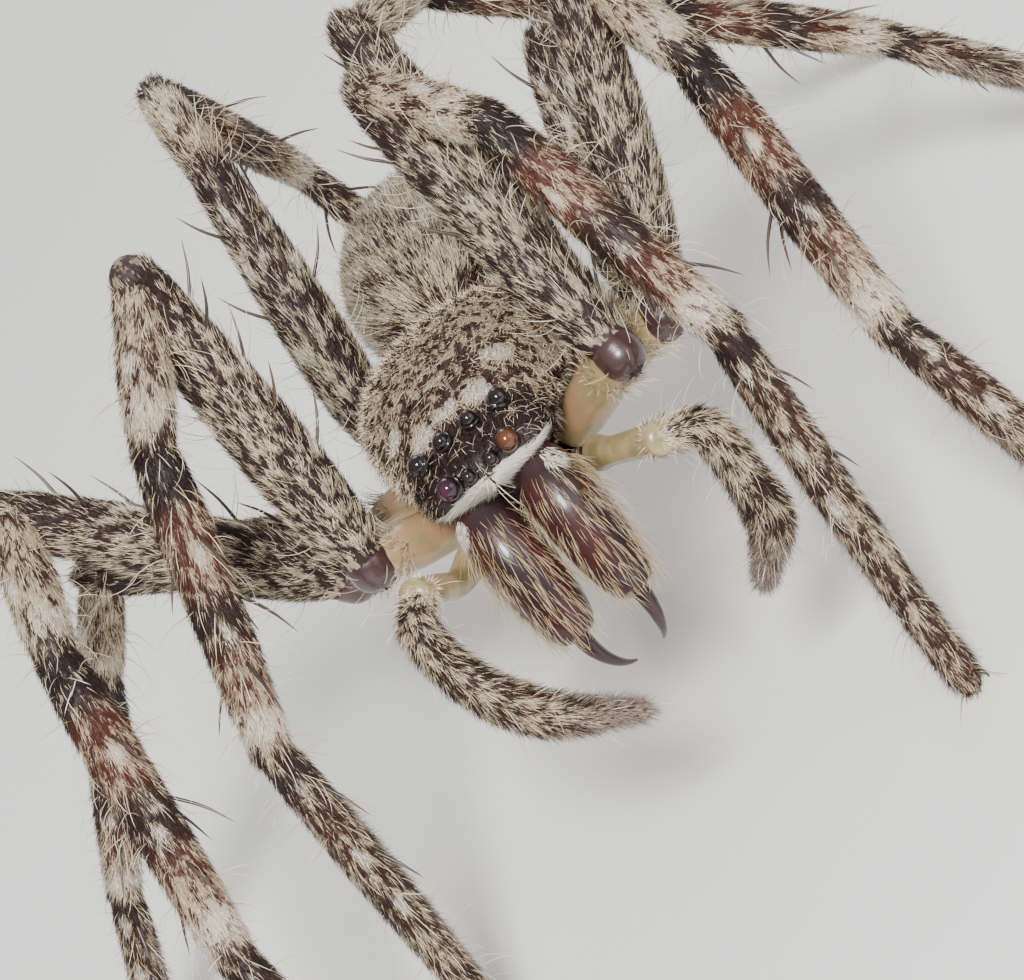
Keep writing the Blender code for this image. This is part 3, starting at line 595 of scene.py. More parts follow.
class Segment:
    # one straight length of a limb, with rounded ends that reach into its neighbours
    def __init__(self, start, end, dorsal, side, profile, girth, depth=coatDepth, caps=(0.75, 0.75)):
        self.start, self.end = np.asarray(start, float), np.asarray(end, float)
        self.length = np.linalg.norm(self.end - self.start)
        self.way = (self.end - self.start) / self.length
        self.dorsal = unit(dorsal - self.way * (np.asarray(dorsal) @ self.way))
        self.front = np.cross(self.way, self.dorsal) * side
        self.width, self.keys = profile[0] * girth, profile[1]
        self.depth, self.caps = depth, caps

    def radius(self, x):
        x = np.asarray(x, float)
        r = smoothTable(self.keys, x / self.length)[..., 0] * self.width / 2 - self.depth
        for cap, past in zip(self.caps, (-x, x - self.length)):
            reach = cap * self.width / 2
            r = np.where(past > 0, r * np.sqrt(np.clip(1 - (past / reach) ** 2, 0, 1)), r)
        return r

    def grid(self, around=26, spacing=0.16):
        reach = [cap * self.width / 2 for cap in self.caps]
        ends = [np.sin(np.linspace(0.06, 1, 7)[:-1] * np.pi / 2) for _ in range(2)]
        inner = np.linspace(0, self.length, max(int(self.length / spacing), 6))
        x = np.concatenate([-reach[0] * ends[0][::-1], inner, self.length + reach[1] * ends[1]])
        x = np.concatenate([[-reach[0] * 0.998], x, [self.length + reach[1] * 0.998]])
        x = np.sort(x)
        turn = 2 * np.pi * np.arange(around) / around
        r = self.radius(x)[:, None, None]
        out = self.dorsal * np.cos(turn)[:, None] + self.front * np.sin(turn)[:, None]
        points = self.start + self.way * x[:, None, None] + out[None] * r
        return points, x, turn

    def surface(self, share, degrees):
        turn = math.radians(degrees)
        out = self.dorsal * math.cos(turn) + self.front * math.sin(turn)
        x = share * self.length
        return self.start + self.way * x + out * float(self.radius(x)), out

    def holds(self, points, margin=0.9):
        x = (points - self.start) @ self.way
        off = np.linalg.norm(points - self.start - x[:, None] * self.way, axis=1)
        return off < self.radius(x) * margin


def limbTone(a, turn, bands, spots, segment):
    base = smoothTable(bands, a)
    tone = np.repeat(base[:, None], len(turn), axis=1)
    under = softStep(-0.2, -0.95, np.cos(turn))[None]
    tone[..., 0] += under * 0.06
    for where, degrees in spots:
        off = (a - where) * segment.length
        gap = np.abs((turn - math.radians(degrees) + np.pi) % (2 * np.pi) - np.pi) * segment.width / 2
        near = np.hypot(off[:, None] * 0.55, gap[None])
        tone[..., 0] += 0.9 * softStep(0.26, 0.10, near)
    return tone


def makeLimb(name, joints, dorsals, side, profiles, names, girth, bands, spots, offset, around=26):
    segments, shells = [], []
    along = 0.0
    for k, part in enumerate(names):
        segment = Segment(joints[k], joints[k + 1], dorsals[k], side, profiles[part], girth)
        points, x, turn = segment.grid(around)
        a = k + np.clip(x / segment.length, 0, 1)
        tone = limbTone(a, turn, bands, spots, segment)
        r = np.linalg.norm(points - segment.start - segment.way * x[:, None, None], axis=-1)
        spot = np.stack([np.broadcast_to((along + x)[:, None], r.shape), r * np.cos(turn),
                         r * np.sin(turn)], -1)
        spot = spot + np.array([offset * 17.3, offset * 5.1, 0])
        points[..., 2] = np.maximum(points[..., 2], 0.03)
        shells.append(Shell(f"{name}_{part}", points, spot, tone, skinMaterial, k))
        segments.append(segment)
        along += segment.length
    return segments, shells


def outsideOthers(roots, segments, own):
    keep = np.ones(len(roots["root"]), bool)
    for k, segment in enumerate(segments):
        if k != own:
            keep &= ~segment.holds(roots["root"])
    return keepRoots(roots, keep)


legCoat = {
    "perMm2": 200,
    "short": {"length": 0.36, "width": 0.034, "lift": 14, "sway": 11, "uneven": 0.25},
    "long": {"length": 1.15, "width": 0.030, "lift": 68, "sway": 24, "bend": 46, "steps": 6,
             "uneven": 0.35, "flat": 0.9},
    "longPerMm": 430 / 30,
}

skinShells = []
legSegments = {}
replaced = []
for side, sign in sides.items():
    for number in (1, 2, 3, 4):
        girth = legLengths[number]["girth"]
        joints, dorsals = legJoints(side, number)
        name = f"leg_{side}_{number}"
        offset = number + (0 if sign > 0 else 4)
        segments, shells = makeLimb(name, joints, dorsals, sign, legProfiles, segmentNames, girth,
                                    legBands, legSpots, offset)
        shells[0].material = bareMaterial
        shells[0].tone[:] = (0.0, 0.5, 0.0)
        legSegments[(side, number)] = segments
        # the bare globe where the femur starts
        half = segments[1].way * 0.12
        globe = Segment(joints[1] - half, joints[1] + half, dorsals[1], sign,
                        (1.40, ((0, 1), (1, 1))), girth, 0.03, (0.92, 0.92))
        points, x, turn = globe.grid(30, 0.05)
        tone = np.zeros(points.shape)
        tone[..., 0] = 1.0
        shells.append(Shell(name + "_globe", points, points.copy(), tone, bareMaterial, 6))
        skinShells += shells
        groups = []
        for k in range(1, 6):
            area = np.pi * segments[k].length * segments[k].width
            roots = shells[k].scatter(int(area * legCoat["perMm2"]))
            roots["way"] = np.broadcast_to(segments[k].way, roots["root"].shape)
            roots = outsideOthers(roots, segments, k)
            roots = keepRoots(roots, ~globe.holds(roots["root"], 1.12))
            groups.append(roots)
        growCoat(name + "_coat", joinRoots(groups), legCoat["short"])
        groups = []
        for k in range(1, 6):
            roots = shells[k].scatter(int(legCoat["longPerMm"] * segments[k].length))
            roots["way"] = np.broadcast_to(segments[k].way, roots["root"].shape)
            groups.append(outsideOthers(roots, segments, k))
        growCoat(name + "_long_hair", joinRoots(groups), legCoat["long"], material=longHairMaterial)
        replaced += [f"{name}_{part}" for part in ("upper", "middle", "lower")]
print("legs made")


# carapace, abdomen and the plates below

carapaceStations = (
    (0.14, 1.60, -0.45, -0.65, -0.90), (-0.10, 1.90, -0.02, -0.65, -1.20), (-0.50, 2.05, 0.24, -0.70, -1.75),
    (-1.20, 2.25, 0.48, -0.85, -2.45), (-2.20, 2.50, 0.82, -1.05, -2.80), (-3.40, 2.95, 1.05, -1.30, -2.95),
    (-4.70, 3.35, 1.18, -1.45, -3.00), (-6.00, 3.45, 1.08, -1.50, -3.00), (-7.20, 3.10, 0.65, -1.45, -2.95),
    (-8.10, 2.40, 0.05, -1.40, -2.75), (-8.65, 1.50, -0.55, -1.35, -2.30),
)
carapaceTuck = 0.30
# white tufts: forward, left and size
carapaceSpots = ((-2.0, 1.0, 0.42), (-2.1, 0.0, 0.30), (-2.0, -1.0, 0.42), (-0.9, 1.5, 0.22),
                 (-0.9, -1.5, 0.22), (-3.15, 1.85, 0.34), (-3.15, -1.85, 0.34), (-3.3, 0.0, 0.24))
eyes = {
    "front_middle": (0.10, 0.39, -0.13, 0.21),
    "front_side": (0.00, 1.03, -0.08, 0.34),
    "rear_middle": (-1.06, 0.48, 0.58, 0.25),
    "rear_side": (-1.18, 1.42, 0.42, 0.29),
}


def carapacePoint(row, turn):
    forward, half, top, margin, under = row
    across, rise = np.cos(turn), np.sin(turn)
    above = rise > 0
    left = half * np.where(above, np.sign(across) * np.abs(across) ** 0.9,
                           across * (1 - carapaceTuck * np.abs(rise)))
    up = margin + np.where(above, (top - margin) * np.abs(rise) ** 0.85, (margin - under) * rise)
    return np.stack([np.full(turn.shape, forward), left, up], -1)


def nearEyes(points, reach):
    # which points are within so many radii of an eye
    near = np.zeros(len(points), bool)
    for forward, left, up, radius in eyes.values():
        for sign in sides.values():
            centre = place(forward, sign * left, up)
            near |= np.linalg.norm(points - centre, axis=1) < radius * reach
    return near


def insetGrid(grid, depth):
    # the grid's surface moved inwards along its normals
    before = np.concatenate([grid[:1], grid[:-1]])
    after = np.concatenate([grid[1:], grid[-1:]])
    along = after - before
    around = np.roll(grid, -1, axis=1) - np.roll(grid, 1, axis=1)
    normal = unit(np.cross(along, around))
    out = grid - grid.mean(axis=1, keepdims=True)
    normal *= np.sign((normal * out).sum(-1, keepdims=True))
    return grid - normal * depth


def makeCarapaceShell():
    f = np.concatenate([np.linspace(0.14, -1.2, 26), np.linspace(-1.2, -8.65, 52)[1:]])
    table = np.array(carapaceStations)[::-1]
    rows = np.concatenate([f[:, None], smoothTable(table, f)], axis=1)
    turn = 2 * np.pi * (np.arange(56) + 0.5) / 56
    grid = np.stack([carapacePoint(row, turn) for row in rows])
    grid = insetGrid(grid, 0.10)
    # round the front face and the hind end off
    front, back = [], []
    middle = grid[0].mean(axis=0)
    for share, push in ((0.97, 0.035), (0.88, 0.06), (0.7, 0.075), (0.45, 0.08), (0.2, 0.08), (0.03, 0.08)):
        ring = middle + (grid[0] - middle) * share
        ring[:, 0] += push
        front.insert(0, ring)
    middle = grid[-1].mean(axis=0)
    for share, push in ((0.9, -0.06), (0.7, -0.1), (0.4, -0.12), (0.05, -0.12)):
        ring = middle + (grid[-1] - middle) * share
        ring[:, 0] += push
        back.append(ring)
    grid = np.concatenate([np.stack(front), grid, np.stack(back)])
    # low mounds that carry the eyes
    for forward, left, up, radius in eyes.values():
        for sign in (1, -1):
            centre = np.array([forward, sign * left, up])
            gap = np.linalg.norm(grid - centre, axis=-1, keepdims=True)
            mound = 0.10 * np.exp(-(gap / (radius * 1.25)) ** 2)
            grid = grid + unit(grid - np.array([-1.5, 0, -1.0])) * mound
    return grid


def carapaceTone(grid):
    f, l = grid[..., 0], grid[..., 1]
    tone = np.zeros(grid.shape)
    tone[..., 0] = 0.50 + 0.16 * softStep(-2.6, -4.2, f)
    tone[..., 1] = 0.25
    tone[..., 2] = 0.3
    head = softStep(-1.9, -1.2, f)
    tone[..., 0] -= head * 0.60
    tone[..., 1] = 0.30 - head * 0.12
    tone[..., 2] += head * 0.5
    table = np.array(carapaceStations)
    edge = softStep(0.7, 1.0, np.abs(l) / np.interp(-f, -table[:, 0], table[:, 1]))
    tone[..., 0] += edge * 0.20 * softStep(-1.8, -2.6, f)
    for forward, left, size in carapaceSpots:
        gap = np.hypot(f - forward, l - left)
        tone[..., 0] += 0.85 * softStep(size * 1.25, size * 0.6, gap)
    return tone


def toWorld(grid):
    return np.stack([eyeSpot[0] + grid[..., 1], eyeSpot[1] - grid[..., 0], eyeSpot[2] + grid[..., 2]], -1)


carapaceGrid = makeCarapaceShell()
carapaceShell = Shell("carapace_skin", toWorld(carapaceGrid), carapaceGrid * 1.0, carapaceTone(carapaceGrid),
                      skinMaterial, 0)
skinShells.append(carapaceShell)

abdomen = {"centre": (-14.0, 0.2, -1.85), "half": (4.75, 3.15, 2.80), "pitch": 4, "rings": 60, "around": 56}


def makeAbdomenShell(s):
    turn = np.linspace(0.02, np.pi - 0.02, s["rings"])
    angle = 2 * np.pi * np.arange(s["around"]) / s["around"]
    along = np.cos(turn)[:, None]
    size = (np.sin(turn) ** 0.9)[:, None] * (1 - 0.10 * along)
    forward = s["half"][0] * along * np.ones((1, s["around"]))
    left = s["half"][1] * size * np.cos(angle)
    up = s["half"][2] * size * np.sin(angle) + forward * math.sin(math.radians(s["pitch"]))
    grid = np.stack([forward, left, up], -1)
    return insetGrid(grid, 0.12) + np.array(s["centre"])


abdomenGrid = makeAbdomenShell(abdomen)


def abdomenTone(grid, s):
    f, l, u = (grid[..., k] - s["centre"][k] for k in range(3))
    tone = np.zeros(grid.shape)
    tone[..., 0] = 0.84
    tone[..., 1] = 0.22
    above = softStep(-0.3, 0.8, u)
    # the heart mark down the middle, and pairs of slanting streaks beside and behind it
    mark = softStep(0.50, 0.25, np.abs(l)) * softStep(-0.6, 0.2, f) * 0.30
    streak = 0.5 + 0.5 * np.cos((f + np.abs(l) * 0.9) * 2 * np.pi / 1.7)
    streak = softStep(0.62, 0.95, streak) * softStep(0.3, 0.7, np.abs(l)) * softStep(2.6, 1.6, np.abs(l))
    tone[..., 0] -= above * (mark + streak * 0.42)
    return tone


abdomenShell = Shell("abdomen_skin", toWorld(abdomenGrid), abdomenGrid * 1.0,
                     abdomenTone(abdomenGrid, abdomen), skinMaterial, 1)
skinShells.append(abdomenShell)

bodyCoat = {
    "carapace": {"count": 17500, "length": 0.46, "width": 0.036, "lift": 24, "sway": 22, "uneven": 0.3},
    "abdomen": {"count": 31000, "length": 0.55, "width": 0.040, "lift": 17, "sway": 14, "uneven": 0.3},
    "abdomenLong": {"count": 380, "length": 1.1, "width": 0.024, "lift": 50, "sway": 25, "bend": 25,
                    "steps": 5, "uneven": 0.3, "flat": 0.9},
}

# the coat thins out towards the face, and lies forwards
roots = carapaceShell.scatter(bodyCoat["carapace"]["count"])
f = roots["spot"][:, 0]
bare = nearEyes(roots["root"], 1.22)
bare |= rng.random(len(f)) < softStep(-0.75, -0.2, f) * 0.75
bare |= f > -0.05
for segments in legSegments.values():
    bare |= segments[0].holds(roots["root"], 1.0)
roots = keepRoots(roots, ~bare)
f, l, _ = roots["spot"].T
roots["way"] = np.stack([-l * 0.05, -np.ones(len(f)), np.where(f > -1.0, 0.0, 0.1)], -1)
growCoat("carapace_coat", roots, bodyCoat["carapace"])

roots = abdomenShell.scatter(bodyCoat["abdomen"]["count"])
growCoat("abdomen_coat", roots, bodyCoat["abdomen"], "abdomen_skin")
roots = abdomenShell.scatter(bodyCoat["abdomenLong"]["count"])
growCoat("abdomen_long_hair", roots, bodyCoat["abdomenLong"], "abdomen_skin", longHairMaterial)
print("body made")


# tubes along a bent path, for the palps, jaws and small parts

def smoothPath(points, count):
    points = np.asarray(points, float)
    spots = np.concatenate([[0], np.cumsum(np.linalg.norm(np.diff(points, axis=0), axis=1))])
    keys = np.concatenate([spots[:, None], points, np.arange(len(points))[:, None]], axis=1)
    return smoothTable(keys, np.linspace(0, spots[-1], count))


def tubeGrid(points, widths, dorsal, count=60, around=28, depths=None, caps=(0.5, 0.5), inset=0.0):
    # widths and depths are read at each point of the path; the ends are rounded
    path = smoothPath(points, count)
    line, a = path[:, :3], path[:, 3]
    keys = np.arange(len(points))
    wide = smoothTable(np.stack([keys, widths], 1), a)[:, 0] / 2 - inset
    deep = wide if depths is None else smoothTable(np.stack([keys, depths], 1), a)[:, 0] / 2 - inset
    way = unit(np.gradient(line, axis=0))
    turn = 2 * np.pi * np.arange(around) / around
    dorsal = np.asarray(dorsal, float)
    up = unit(dorsal - way * (way @ dorsal)[:, None])
    across = np.cross(way, up)

    def ring(k, scale, push):
        return (line[k] + way[k] * push + across[k] * np.cos(turn)[:, None] * wide[k] * scale
                + up[k] * np.sin(turn)[:, None] * deep[k] * scale)

    angles = np.linspace(0.04, 1, 7)[:-1] * np.pi / 2
    first = [ring(0, math.sin(t), -caps[0] * wide[0] * math.cos(t)) for t in angles]
    last = [ring(count - 1, math.sin(t), caps[1] * wide[-1] * math.cos(t)) for t in angles[::-1]]
    grid = np.stack(first + [ring(k, 1.0, 0.0) for k in range(count)] + last)
    a = np.concatenate([np.zeros(6), a, np.full(6, len(points) - 1.0)])
    return grid, a, turn


def tubeShell(name, points, widths, dorsal, tone, material, cell=7, **how):
    grid, a, turn = tubeGrid(points, widths, dorsal, **how)
    # the tone is one for the whole tube, or bands along it
    if np.ndim(tone) == 1:
        tones = np.broadcast_to(np.asarray(tone, float), grid.shape).copy()
    else:
        tones = np.repeat(smoothTable(tone, a)[:, None], len(turn), axis=1)
    grid[..., 2] = np.maximum(grid[..., 2], 0.03)
    return Shell(name, grid, grid + cell * 3.1, tones, material, cell)


# palps: bare to the end of the femur, hairy beyond it

palpPath = {
    "left": ((0.2, 2.85, -2.3), (2.3, 4.4, -1.7), (2.5, 5.3, -2.1), (3.0, 5.3, -3.9), (2.9, 5.0, -5.3),
             (2.6, 3.7, -6.9)),
    "right": ((0.1, -2.75, -2.4), (2.1, -3.2, -0.7), (3.0, -3.5, -0.9), (4.1, -3.4, -2.2), (4.9, -2.5, -4.1),
              (5.0, -0.6, -6.0)),
}
palpRoot = (-1.0, 2.3, -2.8)
palpBands = (
    (0.0, 0.80, 0.2, 0.1), (0.5, 0.86, 0.2, 0.1), (0.9, 0.50, 0.3, 0.4), (1.1, 0.62, 0.3, 0.4),
    (1.6, 0.58, 0.3, 0.4), (2.0, 0.48, 0.3, 0.5), (2.6, 0.55, 0.4, 0.3), (3.2, 0.52, 0.4, 0.3),
    (4.0, 0.50, 0.4, 0.3),
)
palpCoat = {
    "count": 9000, "velvetCount": 9500, "longCount": 110,
    "short": {"length": 0.36, "width": 0.036, "lift": 24, "sway": 12, "uneven": 0.25},
    "velvet": {"length": 0.34, "width": 0.026, "lift": 38, "sway": 16, "uneven": 0.2},
    "long": {"length": 0.85, "width": 0.024, "lift": 60, "sway": 25, "bend": 38, "steps": 5,
             "uneven": 0.3, "flat": 0.9},
}

for side, sign in sides.items():
    name = "palp_" + side
    path = [place(*spot) for spot in palpPath[side]]
    root = place(palpRoot[0], sign * palpRoot[1], palpRoot[2])
    hint = (0, -0.4, 1)
    skinShells.append(tubeShell(name + "_base_skin", [root, path[0], (path[0] + path[1]) / 2, path[1]],
                                (1.0, 0.80, 0.84, 0.95), hint, (0.0, 0.25, 0.0), bareMaterial,
                                caps=(0.3, 0.5)))
    hairy = tubeShell(name + "_skin", [path[1] * 0.85 + path[0] * 0.15] + path[2:],
                      (0.98, 1.12, 1.20, 1.30, 0.72), hint, palpBands, skinMaterial, caps=(0.5, 0.9),
                      count=80, inset=0.08)
    skinShells.append(hairy)
    # the coat gives way to velvet towards the end
    roots = hairy.scatter(palpCoat["count"])
    share = roots["along"]
    roots = keepRoots(roots, rng.random(len(share)) > softStep(0.66, 0.84, share))
    growCoat(name + "_coat", roots, palpCoat["short"])
    roots = hairy.scatter(palpCoat["velvetCount"])
    share = roots["along"]
    roots = keepRoots(roots, rng.random(len(share)) < softStep(0.60, 0.85, share))
    growCoat(name + "_velvet", roots, palpCoat["velvet"], material=padMaterial)
    growCoat(name + "_long_hair", hairy.scatter(palpCoat["longCount"]), palpCoat["long"],
             material=longHairMaterial)
    replaced += [name + "_base", name + "_tip"]
print("palps made")


# jaws

jaw = {
    "root": (-0.25, 1.02, -1.45), "tip": (1.95, 1.02, -4.85),
    # share of the length, width and depth
    "rings": ((-0.12, 1.20, 1.20), (0.0, 1.66, 1.62), (0.14, 1.92, 2.10), (0.34, 2.00, 2.38),
              (0.58, 1.92, 2.18), (0.80, 1.72, 1.80), (0.94, 1.46, 1.44), (1.0, 1.20, 1.18)),
    "fangLength": 1.9, "fangWidth": 0.56, "fangTurn": 84, "fangSteps": 8,
    "patch": (0.08, 1.33, -1.42), "patchSize": 0.34, "patchCount": 14000, "hairCount": 560, "fringeCount": 90,
    "patchHairs": {"length": 0.36, "width": 0.032, "lift": 16, "sway": 12, "uneven": 0.2},
    "hairs": {"length": 0.70, "width": 0.019, "lift": 19, "sway": 8, "uneven": 0.3, "steps": 4, "bend": 14,
              "flat": 0.8},
    "fringe": {"length": 0.95, "width": 0.021, "lift": 30, "sway": 12, "uneven": 0.25, "steps": 5,
               "bend": 30, "flat": 0.8},
}


def jawPaint(name):
    paint = Paint(name, Coat_Weight=0.4, Coat_Roughness=0.16, Specular_IOR_Level=0.4)
    spot = paint.field("spot", "Vector")
    cloud = paint.noise(paint.stretch(spot, (1.0, 1.0, 0.6)), 0.9, 2.0)
    line = paint.noise(paint.stretch(spot, (5.0, 2.0, 1.2)), 2.2, 3.0, 0.6)
    colour = paint.mix(paint.step(cloud, 0.35, 0.75), (0.015, 0.005, 0.006), (0.052, 0.009, 0.010))
    colour = paint.mix(paint.step(line, 0.5, 0.8), colour, (0.012, 0.006, 0.007))
    paint.put(Base_Color=colour, Roughness=0.26 + line * 0.14)
    paint.bump(line, 0.35, 0.00005)
    return paint.material


jawMaterial = jawPaint("jawShell")
for side, sign in sides.items():
    start, end = (place(f, sign * l, u) for f, l, u in (jaw["root"], jaw["tip"]))
    along = unit(end - start)
    length = np.linalg.norm(end - start)
    shares, widths, depths = zip(*jaw["rings"])
    shell = tubeShell("chelicera_" + side + "_shell", [start + along * length * share for share in shares],
                      widths, (0, -1, 0), (0, 0, 0), jawMaterial, cell=0 if sign > 0 else 1, count=70,
                      around=44, depths=depths, caps=(0.6, 0.35), inset=0.03)
    finishPiece(shell.build(), "dark_shell", "chelicera_" + side)
    off = shell.points - shell.points.mean(axis=1, keepdims=True)
    front, outer = -off[..., 1], off[..., 0] * sign
    roots = shell.scatter(jaw["hairCount"], softStep(-0.4, 0.3, front) * 0.8 + 0.2)
    roots = keepRoots(roots, roots["along"] > 0.18)
    growCoat("chelicera_" + side + "_hairs", roots, jaw["hairs"], "dark_shell", bristleMaterial)
    roots = shell.scatter(jaw["fringeCount"], softStep(0.45, 0.75, outer) * softStep(-0.9, -0.2, front))
    roots = keepRoots(roots, roots["along"] > 0.2)
    growCoat("chelicera_" + side + "_fringe", roots, jaw["fringe"], "dark_shell", bristleMaterial)
    # a cream patch at the jaw's outer base
    roots = shell.scatter(jaw["patchCount"])
    f, l, u = jaw["patch"]
    off = np.linalg.norm(roots["root"] - place(f, sign * l, u), axis=1)
    off = (roots["root"] - roots["root"][off.argmin()]) * (1.3, 1.0, 0.8)
    roots = keepRoots(roots, np.linalg.norm(off, axis=1) < jaw["patchSize"])
    growCoat("chelicera_" + side + "_patch", roots, jaw["patchHairs"], "dark_shell", bandMaterial)
    # the fang hooks in and back under the jaw's end
    across = np.array([-sign * 0.45, 1.0, 0.0])
    across = unit(across - along * (across @ along))
    fang, widths = [], []
    spot = end + along * 0.05
    for k in range(jaw["fangSteps"] + 1):
        share = k / jaw["fangSteps"]
        fang.append(spot)
        widths.append(jaw["fangWidth"] * (1 - 0.86 * share ** 1.2))
        turn = math.radians(jaw["fangTurn"]) * share
        step = jaw["fangLength"] * 1.1 / jaw["fangSteps"]
        spot = spot + (along * math.cos(turn) + across * math.sin(turn)) * step
    piece = tubeShell("fang_" + side + "_shell", fang, widths, (sign, 0, 0.1), (0, 0, 0), jawMaterial,
                      count=36, around=24, caps=(0.3, 0.5))
    finishPiece(piece.build(), "dark_shell", "fang_" + side)
print("jaws made")


# eyes: a smooth lens in a dark rim; each lens has a painted glow at its crown that gives way to its own
# deeper colour towards the edge

def eyePaint(name, deep, glow):
    paint = Paint(name, Coat_Weight=0.35, Coat_Roughness=0.02, Specular_IOR_Level=0.4)
    spot = paint.field("spot", "Vector")
    out, _, rim = paint.parts(spot)
    cloud = paint.noise(paint.stretch(paint.node("TexCoord", out="Object"), (1800, 1800, 1800)), 1.0, 2.0)
    # painted glow: the crown of the lens is painted lighter, standing in for light inside the lens, and the
    # edge keeps the lens's own deep colour
    colour = paint.mix(paint.step(out + cloud * 0.3, 0.25, 1.0), glow, deep)
    colour = paint.mix(rim, colour, (0.012, 0.008, 0.008))
    paint.put(Base_Color=colour, Roughness=0.06 + cloud * 0.05)
    return paint.material


# for each lens: its own deep colour at the edge, then the lighter colour of the painted glow at its crown
amberEye = eyePaint("amberLens", (0.034, 0.009, 0.004), (0.115, 0.036, 0.012))
plumEye = eyePaint("plumLens", (0.012, 0.005, 0.009), (0.050, 0.010, 0.030))
blackEye = eyePaint("blackLens", (0.006, 0.004, 0.005), (0.020, 0.007, 0.009))
eyeLook = {("left", "front_side"): amberEye, ("right", "front_side"): plumEye}


def makeEye(side, name):
    forward, left, up, radius = eyes[name]
    centre = place(forward, sides[side] * left, up)
    inside = place(-1.5, 0, -1.2)
    way = unit(centre - inside)
    if name.startswith("front"):
        way = unit(way + np.array([0, -0.5, 0.25]))
    aside = unit(np.cross(way, (0, 0, 1)))
    above = np.cross(aside, way)
    turn = 2 * np.pi * np.arange(40) / 40
    # from the lens's crown down its side, and out over the rim; the third value fades the painted glow from
    # the crown to the edge, the fourth marks the rim
    tilts = np.radians(np.concatenate([np.linspace(1, 78, 22), [84, 90]]))
    rings = [(math.cos(t) * radius, math.sin(t) * radius, t / 1.36, 0.0) for t in tilts]
    rings += [(-0.14 * radius, 1.01 * radius, 1.0, 1.0), (-0.14 * radius, 1.07 * radius, 1.0, 1.0),
              (-0.24 * radius, 1.13 * radius, 1.0, 1.0), (-0.50 * radius, 1.12 * radius, 1.0, 1.0),
              (-0.95 * radius, 0.9 * radius, 1.0, 1.0)]
    circle = aside * np.cos(turn)[:, None] + above * np.sin(turn)[:, None]
    points = np.stack([centre + way * high + circle * out for high, out, _, _ in rings])
    spot = np.stack([np.broadcast_to([glowFade, 0.0, rim], (40, 3)) for _, _, glowFade, rim in rings])
    node = "eye_" + side + "_" + name
    shell = Shell(node + "_lens", points, spot, spot, eyeLook.get((side, name), blackEye), 2)
    finishPiece(shell.build(), "eye_lens", node)


for side in sides:
    for name in eyes:
        makeEye(side, name)
print("eyes made")


# sternum, labium, maxillae, pedicel and spinnerets

sternumShape = {"front": -2.35, "length": 5.4, "middle": -5.05, "width": 4.3, "top": -3.30, "thick": 0.75,
                "around": 48, "hairs": 5000}


def makeSternum(s):
    turn = 2 * np.pi * np.arange(s["around"]) / s["around"]
    back = 0.5 * (1 - np.cos(turn))
    half = (s["width"] / 2 * np.abs(np.sin(turn)) ** 0.7 * (1.12 - 0.42 * back) * np.sign(np.sin(turn)))
    forward = s["front"] - s["length"] * back
    rings = []
    for scale, drop in ((0.3, 0.0), (0.8, 0.0), (0.98, 0.06), (1.0, 0.25), (1.0, 0.5), (0.94, 0.75),
                        (0.8, 0.9), (0.5, 0.98), (0.2, 1.0)):
        rings.append(np.stack([(forward - s["middle"]) * scale + s["middle"], half * scale,
                               np.full(s["around"], s["top"] - s["thick"] * drop)], -1))
    grid = np.stack(rings)
    tone = np.zeros(grid.shape) + np.array([0.62, 0.3, 0.2])
    return Shell("sternum_skin", toWorld(grid), grid, tone, skinMaterial, 2)


# name, then (forward, left, up, width, depth) along each
smallParts = [
    ("labium_skin", ((-2.05, 0, -3.60, 0.78, 0.56), (-1.6, 0, -3.60, 0.82, 0.56),
                     (-1.2, 0, -3.65, 0.56, 0.48))),
    ("pedicel_skin", ((-8.0, 0, -2.15, 1.0, 1.0), (-9.2, 0, -2.15, 0.9, 0.9), (-10.6, 0, -2.15, 1.0, 1.0))),
]
maxilla = ((-2.2, 1.30, -3.45, 0.66), (-1.75, 1.28, -3.50, 0.92), (-1.25, 1.20, -3.60, 0.92),
           (-0.95, 1.10, -3.75, 0.6))
smallParts += [("maxilla_skin", [(f, sign * l, u, w, w * 0.9) for f, l, u, w in maxilla])
               for sign in sides.values()]
for name, stations in smallParts:
    skinShells.append(tubeShell(name, [place(*row[:3]) for row in stations], [row[3] for row in stations],
                                (0, 0, 1), (0.0, 0.4, 0.0), bareMaterial, count=20, around=24,
                                depths=[row[4] for row in stations], caps=(0.6, 0.6)))
sternum = makeSternum(sternumShape)
skinShells.append(sternum)

spinneret = {
    "inset": 0.9, "drop": 0.55, "axis": (0, 1, -0.35), "aside": 0.36, "pairs": ((0.26, 0.75), (-0.26, 0.95)),
    "count": 260, "hairs": {"length": 0.24, "width": 0.022, "lift": 22, "sway": 14},
}
f, l, u = abdomen["centre"]
sink = abdomen["half"][0] * math.sin(math.radians(abdomen["pitch"]))
spinRoot = place(f - abdomen["half"][0] + spinneret["inset"], l, u - sink - spinneret["drop"])
spinAxis = unit(spinneret["axis"])
skinShells.append(tubeShell("spinneret_base", [spinRoot + spinAxis * far for far in (0, 0.6, 1.25)],
                            (1.5, 1.4, 1.1), (0, 0, 1), (0.55, 0.4, 0.3), skinMaterial, count=14, around=24,
                            caps=(0.5, 0.5)))
groups = []
for left in (-spinneret["aside"], spinneret["aside"]):
    for lift, reach in spinneret["pairs"]:
        start = spinRoot + spinAxis + np.array([left, 0, lift])
        way = unit(spinAxis + np.array([left * 0.4, 0, lift * 0.3])) * (0.35 + reach)
        shell = tubeShell("spinneret", [start, start + way * 0.6, start + way], (0.50, 0.46, 0.22),
                          (0, 0, 1), (0.50, 0.5, 0.3), skinMaterial, cell=3, count=16, around=16,
                          caps=(0.5, 0.5))
        skinShells.append(shell)
        groups.append(shell.scatter(spinneret["count"]))
growCoat("spinneret_hairs", joinRoots(groups), spinneret["hairs"], "abdomen_skin")
